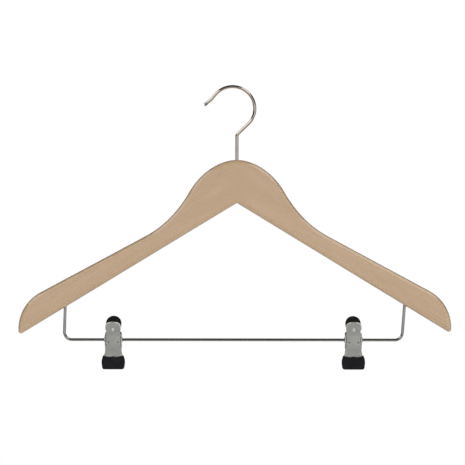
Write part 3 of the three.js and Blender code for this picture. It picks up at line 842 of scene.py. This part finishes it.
# %% Wires and their paths
def wire(name, path, diameter, finish, sides, swells=None):
    """A swept wire from its centre line in millimetres, as a plain mesh."""
    mesh = bpy.data.meshes.new(name)
    mesh.from_pydata([Vector(p) * MM for p in path], [(i, i + 1) for i in range(len(path) - 1)], [])
    carry(mesh, "swell", swells or [1.0] * len(path))
    piece = place(name, mesh)
    sweep = piece.modifiers.new("sweep", "NODES")
    sweep.node_group = bent_wire
    sizes = {"Diameter": diameter * MM, "Sides": sides, "Finish": finish}
    for item in bent_wire.interface.items_tree:
        if item.name in sizes:
            sweep[item.identifier] = sizes[item.name]
    baked(piece)
    face_outwards(piece.data, merge=SAME_PLACE)
    return piece


def bent_path(x, z, heading, moves, finest):
    """Points of a wire bent in the XZ plane: ("run", length), or ("bend", degrees to the left, radius). A
    bend has a point every so many degrees."""
    angle = math.radians(heading)
    path = [Vector((x, 0.0, z))]
    for move in moves:
        if move[0] == "run":
            path.append(path[-1] + move[1] * Vector((math.cos(angle), 0.0, math.sin(angle))))
            continue
        turn, radius = math.radians(move[1]), move[2]
        reach = math.copysign(radius, turn)
        centre = path[-1] + reach * Vector((-math.sin(angle), 0.0, math.cos(angle)))
        steps = max(3, math.ceil(abs(move[1]) / finest))
        for i in range(1, steps + 1):
            now = angle + turn * i / steps
            path.append(centre + reach * Vector((math.sin(now), 0.0, -math.cos(now))))
        angle += turn
    return path


print("points on a right-angled bend:", len(bent_path(0, 0, 0, [("bend", 90, 5)], 6.0)))

# %% [markdown]
# ## The hook
# One wire, straight up out of the neck, kinked 46 degrees to the side, then round a crown that starts a
# little tighter than it goes on, and out to a flared end with a ball on it. Its foot is thinned to a spigot
# and headed over under a washer, inside the neck, so that it turns but doesn't pull out.

# %% The hook's path
HOOK_WIRE = 3.4
CROWN_RADIUS = 22.65
CROWN_OFFSET = -4.55
CROWN_SPAN = 145.0
LEAD_RADIUS = 21.2
LEAD_SPAN = 41.0
KINK = 46.0
KINK_RADIUS = 3.0
FLARE = 10.5
FLARE_RADIUS = 8.0
FLARE_RUN = 6.0
SHOULDER_GAP = 0.15
HOOK_FINEST = 3.0

washer_low, washer_high = box_mm("hook_washer")
kink = math.radians(KINK)
crown_z = -math.sqrt((CROWN_RADIUS - HOOK_WIRE / 2) ** 2 - CROWN_OFFSET**2)
lead_end = math.radians(LEAD_SPAN - KINK)
lead_x = CROWN_OFFSET + (CROWN_RADIUS - LEAD_RADIUS) * math.cos(lead_end)
lead_z = crown_z + (CROWN_RADIUS - LEAD_RADIUS) * math.sin(lead_end)
slant_x = lead_x + LEAD_RADIUS * math.cos(kink)
kink_z = lead_z - LEAD_RADIUS * math.sin(kink) - slant_x / math.tan(kink)
kink_trim = KINK_RADIUS * math.tan(kink / 2)
shoulder_z = washer_high.z + SHOULDER_GAP
hook_moves = [
    ("run", kink_z - kink_trim - shoulder_z),
    ("bend", -KINK, KINK_RADIUS),
    ("run", slant_x / math.sin(kink) - kink_trim),
    ("bend", LEAD_SPAN, LEAD_RADIUS),
    ("bend", CROWN_SPAN, CROWN_RADIUS),
    ("run", FLARE_RUN),
    ("bend", -FLARE, FLARE_RADIUS),
    ("run", FLARE_RUN),
]
hook_path = bent_path(0.0, shoulder_z, 90.0, hook_moves, HOOK_FINEST)
hook_swells = [1.0] * len(hook_path)
print(f"the hook kinks at {kink_z:.1f} mm")

# %% The hook, from its riveted foot to its ball
SPIGOT_RADIUS = 1.2
RIVET_RADIUS = 2.0
RIVET_HEIGHT = 1.0
RIVET_EDGE = 0.3
LEDGE = 0.01
BALL_RADIUS = 2.4
BALL_STEPS = 14
BALL_TIP = 0.02

rivet_top = hook_foot + RIVET_HEIGHT
foot = [
    (hook_foot, RIVET_RADIUS - RIVET_EDGE),
    (hook_foot + RIVET_EDGE, RIVET_RADIUS),
    (rivet_top, RIVET_RADIUS),
    (rivet_top + LEDGE, SPIGOT_RADIUS),
    (shoulder_z - LEDGE, SPIGOT_RADIUS),
]
hook_path = [Vector((0.0, 0.0, z)) for z, _ in foot] + hook_path
hook_swells = [radius / (HOOK_WIRE / 2) for _, radius in foot] + hook_swells

end = hook_path[-1].copy()
outward = (end - hook_path[-2]).normalized()
neck_reach = math.sqrt(BALL_RADIUS**2 - (HOOK_WIRE / 2) ** 2)
hook_path[-1] = end - outward * neck_reach
for i in range(1, BALL_STEPS + 1):
    angle = math.acos(-neck_reach / BALL_RADIUS) * (1 - i / BALL_STEPS)
    hook_path.append(end + outward * BALL_RADIUS * math.cos(angle))
    hook_swells.append(max(BALL_TIP, BALL_RADIUS * math.sin(angle) / (HOOK_WIRE / 2)))
hook = wire("hook_wire", hook_path, HOOK_WIRE, bright_wire, sides=24, swells=hook_swells)
keep(hook, "hook", "hook", "hook_steel")

# %% [markdown]
# ## Bush and washer
# The hook turns in a barbed bush that is pressed into the neck, and a washer under it takes the pull. Both
# are turned rings, so a profile of radius and height is carried round an axis. A Screw modifier would do the
# same, but leaves a seam to be merged, which a plain loop doesn't.

# %% The bush in the neck
BUSH_GAP = 0.2
BUSH_WALL = 1.5
BARB_HEIGHT = 0.35
BUSH_BORE = HOOK_WIRE / 2 + BUSH_GAP
BUSH_OUTER = BUSH_BORE + BUSH_WALL
BUSH_BARB = BUSH_OUTER + BARB_HEIGHT
BUSH_LEAD = 0.2
BUSH_EDGE = 0.3
BARBS = 3
BARB_FALL = 0.05


def turned(name, profile, centre, along_x, finish):
    """A ring or a rod from (radius, height) pairs that close on themselves, about Z or about X."""
    points = []
    faces = []
    for k in range(ROUND_SIDES):
        angle = 2 * math.pi * k / ROUND_SIDES
        for radius, height in profile:
            a, b = radius * math.cos(angle), radius * math.sin(angle)
            points.append(Vector(centre) + Vector((height, a, b) if along_x else (a, b, height)))
    rows = len(profile)
    for k in range(ROUND_SIDES):
        n = (k + 1) % ROUND_SIDES
        for i in range(rows):
            j = (i + 1) % rows
            faces.append((k * rows + i, n * rows + i, n * rows + j, k * rows + j))
    return mesh_from(name, points, faces, finish)


bush_low, bush_high = box_mm("hook_bush")
bush_length = bush_high.z - bush_low.z
barb_step = bush_length / (BARBS + 1)
bush_profile = [(BUSH_BORE, 0.0), (BUSH_OUTER - BUSH_LEAD, 0.0), (BUSH_OUTER, BUSH_EDGE)]
for i in range(BARBS):
    start = (i + 0.5) * barb_step
    stop = start + barb_step / 2
    bush_profile += [(BUSH_OUTER, start), (BUSH_BARB, stop - BARB_FALL), (BUSH_OUTER, stop)]
bush_profile += [(BUSH_OUTER, bush_length - BUSH_EDGE), (BUSH_OUTER - BUSH_EDGE, bush_length)]
bush_profile += [(BUSH_BORE + BUSH_EDGE, bush_length), (BUSH_BORE, bush_length - BUSH_EDGE)]
bush = place("neck_bush", turned("neck_bush", bush_profile, (0, 0, bush_low.z), False, bar_wire))
keep(bush, "hanger", "hook_bush", "hook_steel")

# %% The washer on the hook's foot
WASHER_GAP = 0.1
WASHER_BORE = SPIGOT_RADIUS + WASHER_GAP
WASHER_EDGE = 0.15
washer_profile = [
    (WASHER_BORE, washer_low.z),
    (washer_high.x - WASHER_EDGE, washer_low.z),
    (washer_high.x, washer_low.z + WASHER_EDGE),
    (washer_high.x, washer_high.z - WASHER_EDGE),
    (washer_high.x - WASHER_EDGE, washer_high.z),
    (WASHER_BORE, washer_high.z),
]
washer = place("foot_washer", turned("foot_washer", washer_profile, (0, 0, 0), False, bar_wire))
keep(washer, "hook", "hook_washer", "hook_steel")

# %% [markdown]
# ## The trouser bar
# One wire too, bent up at both ends and pushed into the undersides of the arms. Its legs aren't quite
# upright: both lean a little to the right, the right one more.

# %% Bar
BAR_BEND = 7.6
BAR_FINEST = 6.0
LEG_CLEAR = 0.3
turns = (90 + math.degrees(LEG_LEANS[0]), 90 - math.degrees(LEG_LEANS[1]))
trims = [BAR_BEND * math.tan(math.radians(turn / 2)) for turn in turns]
legs = [run + SOCKET_DEPTH - LEG_CLEAR for run in leg_runs]
bar_path = bent_path(
    BAR_CORNERS[0] + legs[0] * math.sin(LEG_LEANS[0]),
    bar_z + legs[0] * math.cos(LEG_LEANS[0]),
    -turns[0],
    [
        ("run", legs[0] - trims[0]),
        ("bend", turns[0], BAR_BEND),
        ("run", BAR_CORNERS[1] - BAR_CORNERS[0] - sum(trims)),
        ("bend", turns[1], BAR_BEND),
        ("run", legs[1] - trims[1]),
    ],
    BAR_FINEST,
)
bar = wire("bar_wire", bar_path, BAR_DIAMETER, bar_wire, sides=20)
keep(bar, "hanger", "trouser_bar", "bar_steel")

# %% [markdown]
# ## Clip jaws
# Each clip has two jaws stamped from sheet 0.8 mm thick. A jaw is straight inside its boot, swells out past
# the pivot and leans out into a flat thumb tab, and an ear folds in on each side to carry the pivot. The
# rear jaw's ears lie outside the front jaw's. The blank is drawn flat, with the ears unfolded and their
# holes punched, and the press bends it: `stand` says how far the sheet lies from the closing plane at each
# height, and `fold` how far its edges have turned in. The side view comes first.

# %% A jaw from the side
MOUTH_STAND = 2.0
PIVOT_STAND = 5.1
TAB_BEND_Z = 6.2
FLAT_Z = 4.0
WAIST_Z = -9.4
THROAT_Z = -16.0
JAW_BOTTOM = -28.6
PAST_END = 2.0

# Where each tab is widest, where it ends, how square its end is, from 0 for a point to 1 for a square, how
# far it leans out and how far its edge is rolled in.
FRONT_TAB = {"wide": 12.3, "top": 18.6, "fullness": 0.78, "lean": math.radians(35), "roll": 0.8}
REAR_TAB = {"wide": 16.6, "top": 24.1, "fullness": 0.55, "lean": math.radians(17), "roll": 0.0}


def jaw_stand(tab):
    """A function of height that gives how far the sheet's middle is from the closing plane."""
    lean = Vector((math.sin(tab["lean"]), math.cos(tab["lean"])))
    throat = Vector((MOUTH_STAND, THROAT_Z))
    low = Vector((PIVOT_STAND, -FLAT_Z))
    high = Vector((PIVOT_STAND, FLAT_Z))
    corner = Vector((PIVOT_STAND, TAB_BEND_Z))
    leaf = corner + (TAB_BEND_Z - FLAT_Z) * lean
    line = [Vector((MOUTH_STAND, JAW_BOTTOM - PAST_END)), throat]
    line += bezier(throat, Vector((MOUTH_STAND, WAIST_Z)), Vector((PIVOT_STAND, WAIST_Z)), low, 60)
    line += [high]
    line += bezier(high, (high + 2 * corner) / 3, (leaf + 2 * corner) / 3, leaf, 24)
    line += [corner + lean * (tab["top"] + PAST_END - TAB_BEND_Z) / lean.y]

    def stand(z):
        for a, b in zip(line, line[1:]):
            if z <= b.y:
                return a.x + (b.x - a.x) * (z - a.y) / (b.y - a.y)
        return line[-1].x

    return stand


print(f"the front tab stands out {jaw_stand(FRONT_TAB)(FRONT_TAB['top']):.1f} mm")

# %% [markdown]
# ## The blank of a jaw
# One half is drawn from the mouth up: past the waist to the ear, round the ear's eye, and out into the tab.
# The points say where the outline passes, and the pulls between them how full each curve is.

# %% The blank's outline
JAW_MOUTH = (9.7, -22.0)
JAW_CORNER = 0.8
JAW_THROAT = 9.5
WAIST = 8.25
EAR_ROOT_LOW = (1.5, 1.1)
EAR_ROOT_HIGH = (1.3, 0.8)
EAR_START = 1.0
EAR_END = 0.9
TAB_NECK = (6.95, 8.2)
TAB_HALF = 7.95
NECK_PULL = 1.2


def tab_curve(tab):
    """The edge of a tab, from where it is widest to the middle of its end."""
    square = Vector((TAB_HALF, tab["top"] - tab["wide"])) * tab["fullness"]
    wide = Vector((TAB_HALF, tab["wide"]))
    return flow(wide, (0.0, square.y), Vector((0.0, tab["top"])), (square.x, 0.0), 32)


def jaw_half(fold_x, pivot, ear_radius, tab):
    """One half of the blank, from the middle of the mouth to the middle of the tab's end."""
    mouth = Vector(JAW_MOUTH)
    throat = Vector((JAW_THROAT, THROAT_Z))
    waist = Vector((WAIST, WAIST_Z))
    root_low = Vector((fold_x + EAR_ROOT_LOW[0], -ear_radius - EAR_ROOT_LOW[1]))
    root_high = Vector((fold_x + EAR_ROOT_HIGH[0], ear_radius + EAR_ROOT_HIGH[1]))
    ear_start = Vector((root_low.x + EAR_START, -ear_radius))
    ear_end = Vector((root_high.x + EAR_END, ear_radius))
    neck = Vector(TAB_NECK)
    wide = Vector((TAB_HALF, tab["wide"]))
    pull = min(NECK_PULL, (neck.y - root_high.y) * 0.6)
    rise = (neck.y + wide.y) / 2
    half = [Vector((0.0, JAW_BOTTOM)), Vector((mouth.x - JAW_CORNER, JAW_BOTTOM))]
    half += [Vector((mouth.x, JAW_BOTTOM + JAW_CORNER)), mouth, throat]
    half += flow(throat, (-0.7, 2.2), waist, (0.0, -2.2), 12)
    half += flow(waist, (0.0, 1.4), root_low, (0.0, -0.9), 8)
    half += flow(root_low, (0.0, 0.8), ear_start, (-0.8, 0.0), 6)
    half += arc(pivot, ear_radius, -90, 90, 40)
    half += [ear_end]
    half += flow(ear_end, (-0.7, 0.0), root_high, (0.0, -0.6), 6)
    half += flow(root_high, (0.0, pull), neck, (0.0, -pull), 10)
    half += bezier(neck, Vector((neck.x, rise)), Vector((wide.x, rise)), wide, 12)
    return half + tab_curve(tab)


print("points on the front tab's edge:", len(tab_curve(FRONT_TAB)))

# %% [markdown]
# ## Press marks
# Each jaw has two dimples beside its pivot and a raised pip on its tab, and the front tab's edge is rolled
# in. They are part of the press function, so that they are real shape and catch the light from any side.

# %% Dimples and pip
DIMPLE = (4.8, -2.4)
DIMPLE_RADIUS = 1.3
DIMPLE_DEPTH = 0.7
DIMPLE_RINGS = (0.0, 0.35, 0.7, 1.05, 1.35)
RING_POINTS = 16
PIP = (0.0, 10.6)
PIP_RADIUS = 1.2
PIP_STRAIGHT = 0.5
PIP_HEIGHT = 0.9
MARK_POWER = 1.5


def dome(share):
    """The height of a round press mark at a share of its radius."""
    return max(0.0, 1 - share * share) ** MARK_POWER


def dimple(x, z):
    return dome(math.hypot(abs(x) - DIMPLE[0], z - DIMPLE[1]) / DIMPLE_RADIUS)


def pip(x, z):
    return dome(math.hypot(x - PIP[0], max(0.0, abs(z - PIP[1]) - PIP_STRAIGHT)) / PIP_RADIUS)


dimple_points = [
    Vector((side * DIMPLE[0], DIMPLE[1])) + Vector((radius * math.cos(angle), radius * math.sin(angle)))
    for side in (1, -1)
    for radius in DIMPLE_RINGS
    for angle in [2 * math.pi * k / RING_POINTS for k in range(RING_POINTS if radius else 1)]
]
print("extra points for the dimples:", len(dimple_points))

# %% [markdown]
# ## Pressing a jaw
# Beyond the fold line a point of the blank goes round the fold's small radius, and then straight on at the
# angle to which the sheet is folded at its height. That angle is a right angle at the ear, a slight one at
# the waist and nothing at the mouth and the tab, so the ears stand up out of a sheet that stays in one
# piece. A Simple Deform modifier bends too, but would need an origin and limits of its own for each fold.

# %% A jaw
SHEET = 0.8
SHEET_ROUNDING = 0.36
JAW_STEP = 0.5
FOLD_RADIUS = 0.5
FOLD_ABOVE = (0.4, 2.2)
FOLD_BELOW = (0.4, 3.4)
WAIST_FOLD = math.radians(24)
WAIST_FOLD_START = 0.5
EAR_HOLE = 2.4
ROLL_WIDTH = 1.6
ROLL_START = 2.0
# Across which the rolled shoulders are smoother and painted lighter as a highlight, and how strongly pips
# and shoulders are painted lighter and dimples painted darker as shade.
SHOULDER_POLISH_AND_GLINT = (1.5, 4.0)
POLISH_AND_GLINT_GAIN = 2.5
DIMPLE_SHADE_GAIN = 1.6


def jaw_mesh(name, outward, ear_outer, ear_radius, tab):
    stand = jaw_stand(tab)
    tab_edge = tab_curve(tab)
    fold_x = ear_outer - SHEET / 2 - FOLD_RADIUS
    quarter = FOLD_RADIUS * math.pi / 2
    pivot = Vector((fold_x + PIVOT_STAND - FOLD_RADIUS + quarter, 0.0))

    def fold(z):
        if z > 0:
            return math.radians(90) * (1 - step(ear_radius + FOLD_ABOVE[0], ear_radius + FOLD_ABOVE[1], z))
        ear = math.radians(90) * step(-ear_radius - FOLD_BELOW[1], -ear_radius - FOLD_BELOW[0], z)
        return max(ear, WAIST_FOLD * step(THROAT_Z + WAIST_FOLD_START, WAIST_Z, z))

    def rolled(x, z):
        start = tab["wide"] - ROLL_START
        if not tab["roll"] or z < start:
            return 0.0
        here = Vector((abs(x), z))
        near = min((here - p).length for p in tab_edge)
        return max(0.0, 1 - near / ROLL_WIDTH) ** 2 * step(start, tab["wide"], z)

    # 1 on the pips and the rolled shoulders, smoother there and painted lighter as a highlight; -1 in the
    # dimples, painted darker as shade.
    def polish_and_painted_light(x, z):
        shoulder_polish_and_glint = rolled(x, z) * step(*SHOULDER_POLISH_AND_GLINT, abs(x))
        return min(1.0, POLISH_AND_GLINT_GAIN * (pip(x, z) + shoulder_polish_and_glint)) - min(1.0, DIMPLE_SHADE_GAIN * dimple(x, z))

    def press(x, z):
        past = abs(x) - fold_x
        across, inward = abs(x), 0.0
        if past > 0:
            most = fold(z)
            angle = min(past / FOLD_RADIUS, most)
            rest = past - FOLD_RADIUS * angle
            across = fold_x + FOLD_RADIUS * math.sin(angle) + rest * math.cos(most)
            inward = FOLD_RADIUS * (1 - math.cos(angle)) + rest * math.sin(most)
        lifted = stand(z) - inward + PIP_HEIGHT * pip(x, z) - DIMPLE_DEPTH * dimple(x, z)
        lifted -= tab["roll"] * rolled(x, z)
        return Vector((math.copysign(across, x), outward * lifted, z))

    loops = [mirrored(jaw_half(fold_x, pivot, ear_radius, tab))]
    for side in (1, -1):
        hole = arc(pivot, EAR_HOLE, 0, -360 * side, 32)[:-1]
        loops.append([Vector((side * p.x, p.y)) for p in hole])
    return pressed(
        name,
        loops,
        SHEET,
        SHEET_ROUNDING,
        press,
        satin_sheet,
        spacing=JAW_STEP,
        extra=dimple_points,
        show=-outward,
        polish_and_painted_light=polish_and_painted_light,
    )


# %% Rear and front jaw
EAR_OUTER = 8.6
EAR_GAP = 0.3
EAR_INNER = EAR_OUTER - SHEET - EAR_GAP
REAR_EAR_WALL = 3.5
FRONT_EAR_WALL = 1.6

shapes = {
    "rear_jaw": jaw_mesh("rear_jaw", 1, EAR_OUTER, EAR_HOLE + REAR_EAR_WALL, REAR_TAB),
    "front_jaw": jaw_mesh("front_jaw", -1, EAR_INNER, EAR_HOLE + FRONT_EAR_WALL, FRONT_TAB),
}
print("faces:", {part: len(mesh.polygons) for part, mesh in shapes.items()})

# %% [markdown]
# ## Boots
# A soft cap over the end of each jaw. It flares towards its foot, its top edge dips in two shallow lobes,
# and its faces are a little full, as dipped vinyl is. A pocket is cut for the sheet.

# %% The shape of a boot
BOOT_INNER = 0.15
BOOT_OUTER = 3.9
BOOT_ROUNDING = 1.1
BOOT_STEP = 0.9
BOOT_BOTTOM = -30.0
BOOT_FOOT = 11.3
BOOT_WIDE = (11.8, -23.0)
BOOT_TOP = 10.3
BOOT_CORNER = 2.4
BOOT_DIP = 1.5
LOBE_PEAK = 0.7
LOBE_WIDTH = 2.0
BOOT_FULLNESS = 0.25
LIP_START = 0.5
LIP_STEP = 0.4
LIP_POINTS = 24


def boot_top(x):
    dip = BOOT_DIP * (1 - (x / BOOT_TOP) ** 2)
    return THROAT_Z - dip + LOBE_PEAK * math.exp(-((x / LOBE_WIDTH) ** 2))


def boot_mesh(name, outward):
    wide = Vector(BOOT_WIDE)
    foot = Vector((BOOT_FOOT, BOOT_BOTTOM + BOOT_CORNER))
    shoulder = Vector((BOOT_TOP, THROAT_Z))
    half = [Vector((0.0, BOOT_BOTTOM))]
    half += arc((BOOT_FOOT - BOOT_CORNER, BOOT_BOTTOM + BOOT_CORNER), BOOT_CORNER, -90, 0, 12)
    half += flow(foot, (0.1, 1.4), wide, (0.0, -1.4), 8)
    half += flow(wide, (0.0, 2.6), shoulder, (0.9, -2.4), 12)
    lip = [BOOT_TOP - LIP_START - LIP_STEP * k for k in range(LIP_POINTS)] + [0.0]
    half += [Vector((x, boot_top(x))) for x in lip]
    middle = (BOOT_INNER + BOOT_OUTER) / 2

    def press(x, z):
        across = 1 - (x / BOOT_WIDE[0]) ** 2
        upright = 1 - ((z - BOOT_WIDE[1]) / (BOOT_WIDE[1] - BOOT_BOTTOM)) ** 2
        full = BOOT_FULLNESS * max(0.0, across) * max(0.0, upright)
        return Vector((x, outward * (middle + full), z))

    thickness = BOOT_OUTER - BOOT_INNER
    return pressed(name, [mirrored(half)], thickness, BOOT_ROUNDING, press, vinyl, spacing=BOOT_STEP)


print(f"a boot is {2 * BOOT_WIDE[0]:.1f} mm wide")

# %% Rear and front boot, with their pockets
POCKET_GAP = 0.2


def pocket_mesh(name, outward):
    near = MOUTH_STAND - SHEET / 2 - POCKET_GAP
    far = MOUTH_STAND + SHEET / 2 + POCKET_GAP
    side, throat = JAW_MOUTH[0] + POCKET_GAP, JAW_THROAT + POCKET_GAP
    corners = [(side, JAW_BOTTOM - POCKET_GAP), (side, JAW_MOUTH[1]), (throat, THROAT_Z), (throat, WAIST_Z)]
    loop = corners + [(-x, z) for x, z in reversed(corners)]
    ends = [[Vector((x, outward * y, z)) for x, z in loop] for y in (near, far)]
    return prism(name, *ends, vinyl)


for side, outward in (("rear", 1), ("front", -1)):
    shell = place("boot", boot_mesh("boot", outward))
    bored(shell, [pocket_mesh("pocket", outward)])
    shapes[f"{side}_boot"] = shell.data
    bpy.data.objects.remove(shell)
print("shapes that both clips share:", ", ".join(shapes))

# %% [markdown]
# ## Springs
# A torsion spring of between five and six turns sits round the pivot, with a leg behind each tab. When the
# tabs are squeezed it winds up along its length.

# %% The spring's path
SPRING_WIRE = 1.1
COIL_RADIUS = 3.1
COIL_PITCH = 1.6
COIL_TURNS = 5
COIL_STEPS = 32
LEG_LENGTH = 13.0
LEG_GAP = 0.3
LEG_STEP = 0.4


def leg_lean(tab):
    """How far a leg of the spring can lean out before it meets the tab."""
    stand = jaw_stand(tab)
    clear = COIL_RADIUS + (SPRING_WIRE + SHEET) / 2 + LEG_GAP
    heights = [LEG_STEP * k for k in range(1, int(LEG_LENGTH / LEG_STEP))]
    beside = [Vector((stand(z), z)) for z in heights]
    return min(math.acos(min(1.0, clear / p.length)) - math.atan2(p.y, p.x) for p in beside)


def spring_path():
    rear, front = leg_lean(REAR_TAB), leg_lean(FRONT_TAB)
    first = -rear
    last = -(2 * COIL_TURNS + 1) * math.pi + front
    turns = (first - last) / (2 * math.pi)
    span = turns * COIL_PITCH
    steps = round(turns * COIL_STEPS)

    def leg(side, lean):
        root = Vector((-side * span / 2, side * COIL_RADIUS * math.cos(lean), -COIL_RADIUS * math.sin(lean)))
        return root + LEG_LENGTH * Vector((0.0, side * math.sin(lean), math.cos(lean)))

    path = [leg(1, rear)]
    for i in range(steps + 1):
        angle = first + (last - first) * i / steps
        across = span * (i / steps - 0.5)
        path.append(Vector((across, COIL_RADIUS * math.cos(angle), COIL_RADIUS * math.sin(angle))))
    path.append(leg(-1, front))
    return path, span


coil, coil_span = spring_path()
print(f"the coil is {coil_span:.1f} mm long")

# %% [markdown]
# ## Both clips
# The two clips are alike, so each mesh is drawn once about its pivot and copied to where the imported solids
# hold the two pivots on the bar. The pivot itself is a hollow rivet, rolled over at its ends.

# %% Left and right clip
TUBE_GAP = 0.2
TUBE_WALL = 0.5
RIM_HEIGHT = 0.6
TUBE_BORE = BAR_DIAMETER / 2 + TUBE_GAP
TUBE_OUTER = TUBE_BORE + TUBE_WALL
TUBE_RIM = TUBE_OUTER + RIM_HEIGHT
RIM_THICK = 0.5
RIM_EDGE = 0.2


def tube_profile(reach):
    """A hollow rivet that reaches so far to either side, with a rolled rim at each end."""
    profile = [(TUBE_BORE + RIM_EDGE, -reach), (TUBE_RIM - RIM_EDGE, -reach), (TUBE_RIM, -reach + RIM_EDGE)]
    profile += [(TUBE_RIM, -reach + RIM_THICK), (TUBE_OUTER, -reach + RIM_THICK)]
    profile += [(radius, -height) for radius, height in reversed(profile)]
    return profile + [(TUBE_BORE, reach - RIM_EDGE), (TUBE_BORE, RIM_EDGE - reach)]


for side in ("left", "right"):
    tube_low, tube_high = box_mm(f"{side}_pivot_tube")
    pivot = (tube_low + tube_high) / 2
    for part, slot in (
        ("rear_jaw", "jaw_steel"),
        ("front_jaw", "jaw_steel"),
        ("rear_boot", "boot_rubber"),
        ("front_boot", "boot_rubber"),
    ):
        mesh = shapes[part].copy()
        for v in mesh.vertices:
            v.co += pivot * MM
        piece = place(f"{side}_clip_{part}", mesh)
        keep(piece, f"{side}_{part.split('_')[0]}", f"{side}_{part}", slot)
    profile = tube_profile(tube_high.x - pivot.x)
    tube = place(f"{side}_clip_pivot", turned(f"{side}_clip_pivot", profile, pivot, True, bar_wire))
    keep(tube, f"{side}_slider", f"{side}_pivot_tube", "jaw_steel")
    spring = wire(f"{side}_clip_spring", [pivot + p for p in coil], SPRING_WIRE, spring_wire, sides=10)
    tuple((pivot - Vector((coil_span / 2, 0, 0))) * MM)
    tuple((pivot + Vector((coil_span / 2, 0, 0))) * MM)
    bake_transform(spring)
    keep(spring, None, f"{side}_spring", "spring_steel")
for mesh in shapes.values():
    bpy.data.meshes.remove(mesh)

# %% [markdown]
# ## Floor
# The photograph is on plain white, so a white floor lies below and behind, as far down as a wardrobe's floor
# is. It shows white to the camera and in reflections, and keeps a little of its paint there for a shadow.

# %% White floor
FLOOR_Z = -1600.0
FLOOR_HALF = 8000.0
FLOOR_FRONT = 150.0
FLOOR_BACK = 12000.0
FLOOR_PAINT = (0.85, 0.85, 0.85, 1)
WHITE = (1, 1, 1, 1)
WHITE_SHARE = 0.97

floor_finish = Finish("white_floor")
rays = floor_finish.node("ShaderNodeLightPath")
seen = floor_finish.number(rays, "Is Camera Ray") + floor_finish.number(rays, "Is Glossy Ray")
seen = seen + floor_finish.number(rays, "Is Transmission Ray")
paint = floor_finish.node("ShaderNodeBsdfDiffuse", {"Color": FLOOR_PAINT})
white = floor_finish.node("ShaderNodeEmission", {"Color": WHITE, "Strength": 1.0})
share = seen.between(0.0, 1.0) * WHITE_SHARE
mixed = floor_finish.node("ShaderNodeMixShader", {0: share, 1: paint.outputs[0], 2: white.outputs[0]})
floor_finish.node("ShaderNodeOutputMaterial", {"Surface": mixed.outputs[0]})
near = [Vector((x, FLOOR_FRONT, FLOOR_Z)) for x in (-FLOOR_HALF, FLOOR_HALF)]
far = [Vector((x, FLOOR_BACK, FLOOR_Z)) for x in (FLOOR_HALF, -FLOOR_HALF)]
floor = place("floor", mesh_from("floor", near + far, [(0, 1, 2, 3)], floor_finish.owner))
floor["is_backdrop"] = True
print(f"the floor lies at {FLOOR_Z:.0f} mm")

# %% [markdown]
# ## World
# The world shows white to the camera too, and white behind the hanger in reflections. The wires say what
# stood in front. Upright wire is an even grey, level wire is nearly black along its top, and slanting wire
# has a bright line towards the upper left or the upper right. So the rest of the world is a dark room with a
# thin pale band at eye level, a dim floor and two strip lights that lean out from above the camera. Each
# strip has an angle and a softness.

# %% A room for the metal to mirror
STRIPS = ((56, 0.022), (136, 0.012))
STRIP_TAPER = 0.032
ROOM_LEVEL = 0.012
BAND_LEVEL = 0.12
BAND_FRONT = 0.36
BAND_RIGHT = 0.1
BAND_EDGE = (0.003, 0.024)
BAND_LIFT = 0.03
FLOOR_LEVEL = 0.29
BACKDROP_LEVEL = 0.5

world = bpy.data.worlds.new("studio")
scene.world = world
sky = Finish("studio", world)
way = sky.node("ShaderNodeTexCoord").outputs["Generated"]
way_axes = sky.node("ShaderNodeSeparateXYZ", {"Vector": way})
sideways, depth, height = (sky.number(way_axes, axis) for axis in "XYZ")
band = 1 - (height * height - sideways.between(0.0, 0.4) * BAND_LIFT).between(*BAND_EDGE)
around = BAND_LEVEL + (0 - depth).between(0.0, 0.7) * BAND_FRONT + sideways.between(0.2, 0.7) * BAND_RIGHT
room = ROOM_LEVEL + band * around + (0 - height).between(0.2, 0.5) * FLOOR_LEVEL
for lean, soft in STRIPS:
    across, up = math.cos(math.radians(lean)), math.sin(math.radians(lean))
    along = sideways * across + height * up
    aside = height * across - sideways * up
    strip = 1 - (aside * aside - along * along * STRIP_TAPER).between(0.0, soft)
    room = room + strip * along.between(0.15, 0.35) * (0 - depth).between(-0.4, -0.1)
backdrop = depth.between(0.93, 0.99)
lights = sky.node("ShaderNodeLightPath")
mirrored_ray = sky.number(lights, "Is Glossy Ray") + sky.number(lights, "Is Transmission Ray")
white_seen = (sky.number(lights, "Is Camera Ray") + mirrored_ray * backdrop).between(0.0, 1.0)
glow_strength = white_seen + (room + backdrop * BACKDROP_LEVEL) * (1 - white_seen)
glow = sky.node("ShaderNodeBackground", {"Color": WHITE, "Strength": glow_strength})
sky.node("ShaderNodeOutputWorld", {"Surface": glow.outputs[0]})
print("strip lights:", len(STRIPS))

# %% [markdown]
# ## Lamps
# Three soft lamps light the wood from the front, and a fourth its back. They are kept out of reflections,
# where the world stands for them. Each lamp shines from its place towards the origin, with a strength and a
# spread in degrees.

# %% Key, fill, top and back
LAMPS = {
    "key": ((0.85, -1.5, 0.55), 1.26, 25),
    "fill": ((-0.2, -1.5, -1.1), 1.24, 35),
    "top": ((-0.7, -1.0, 1.2), 0.42, 35),
    "back": ((-0.6, 1.5, 0.4), 1.6, 35),
}
for name, (stands, strength, spread) in LAMPS.items():
    light = bpy.data.lights.new(name, "SUN")
    light.energy = strength
    light.angle = math.radians(spread)
    lamp = bpy.data.objects.new(name, light)
    lamp.location = stands
    lamp.rotation_euler = (-Vector(stands)).to_track_quat("-Z", "Y").to_euler()
    lamp.visible_glossy = False
    scene.collection.objects.link(lamp)
print("lamps:", len(bpy.data.lights))

# %% [markdown]
# ## Closing
# The view transform is Standard, so that colours come out as written. The size of the dressed model is
# printed.

# %% Sizes
scene.view_settings.view_transform = "Standard"
bpy.context.view_layer.update()
visual_box = [list(corner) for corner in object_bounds()]
print("dressed box:", [[round(v / MM, 1) for v in corner] for corner in visual_box])
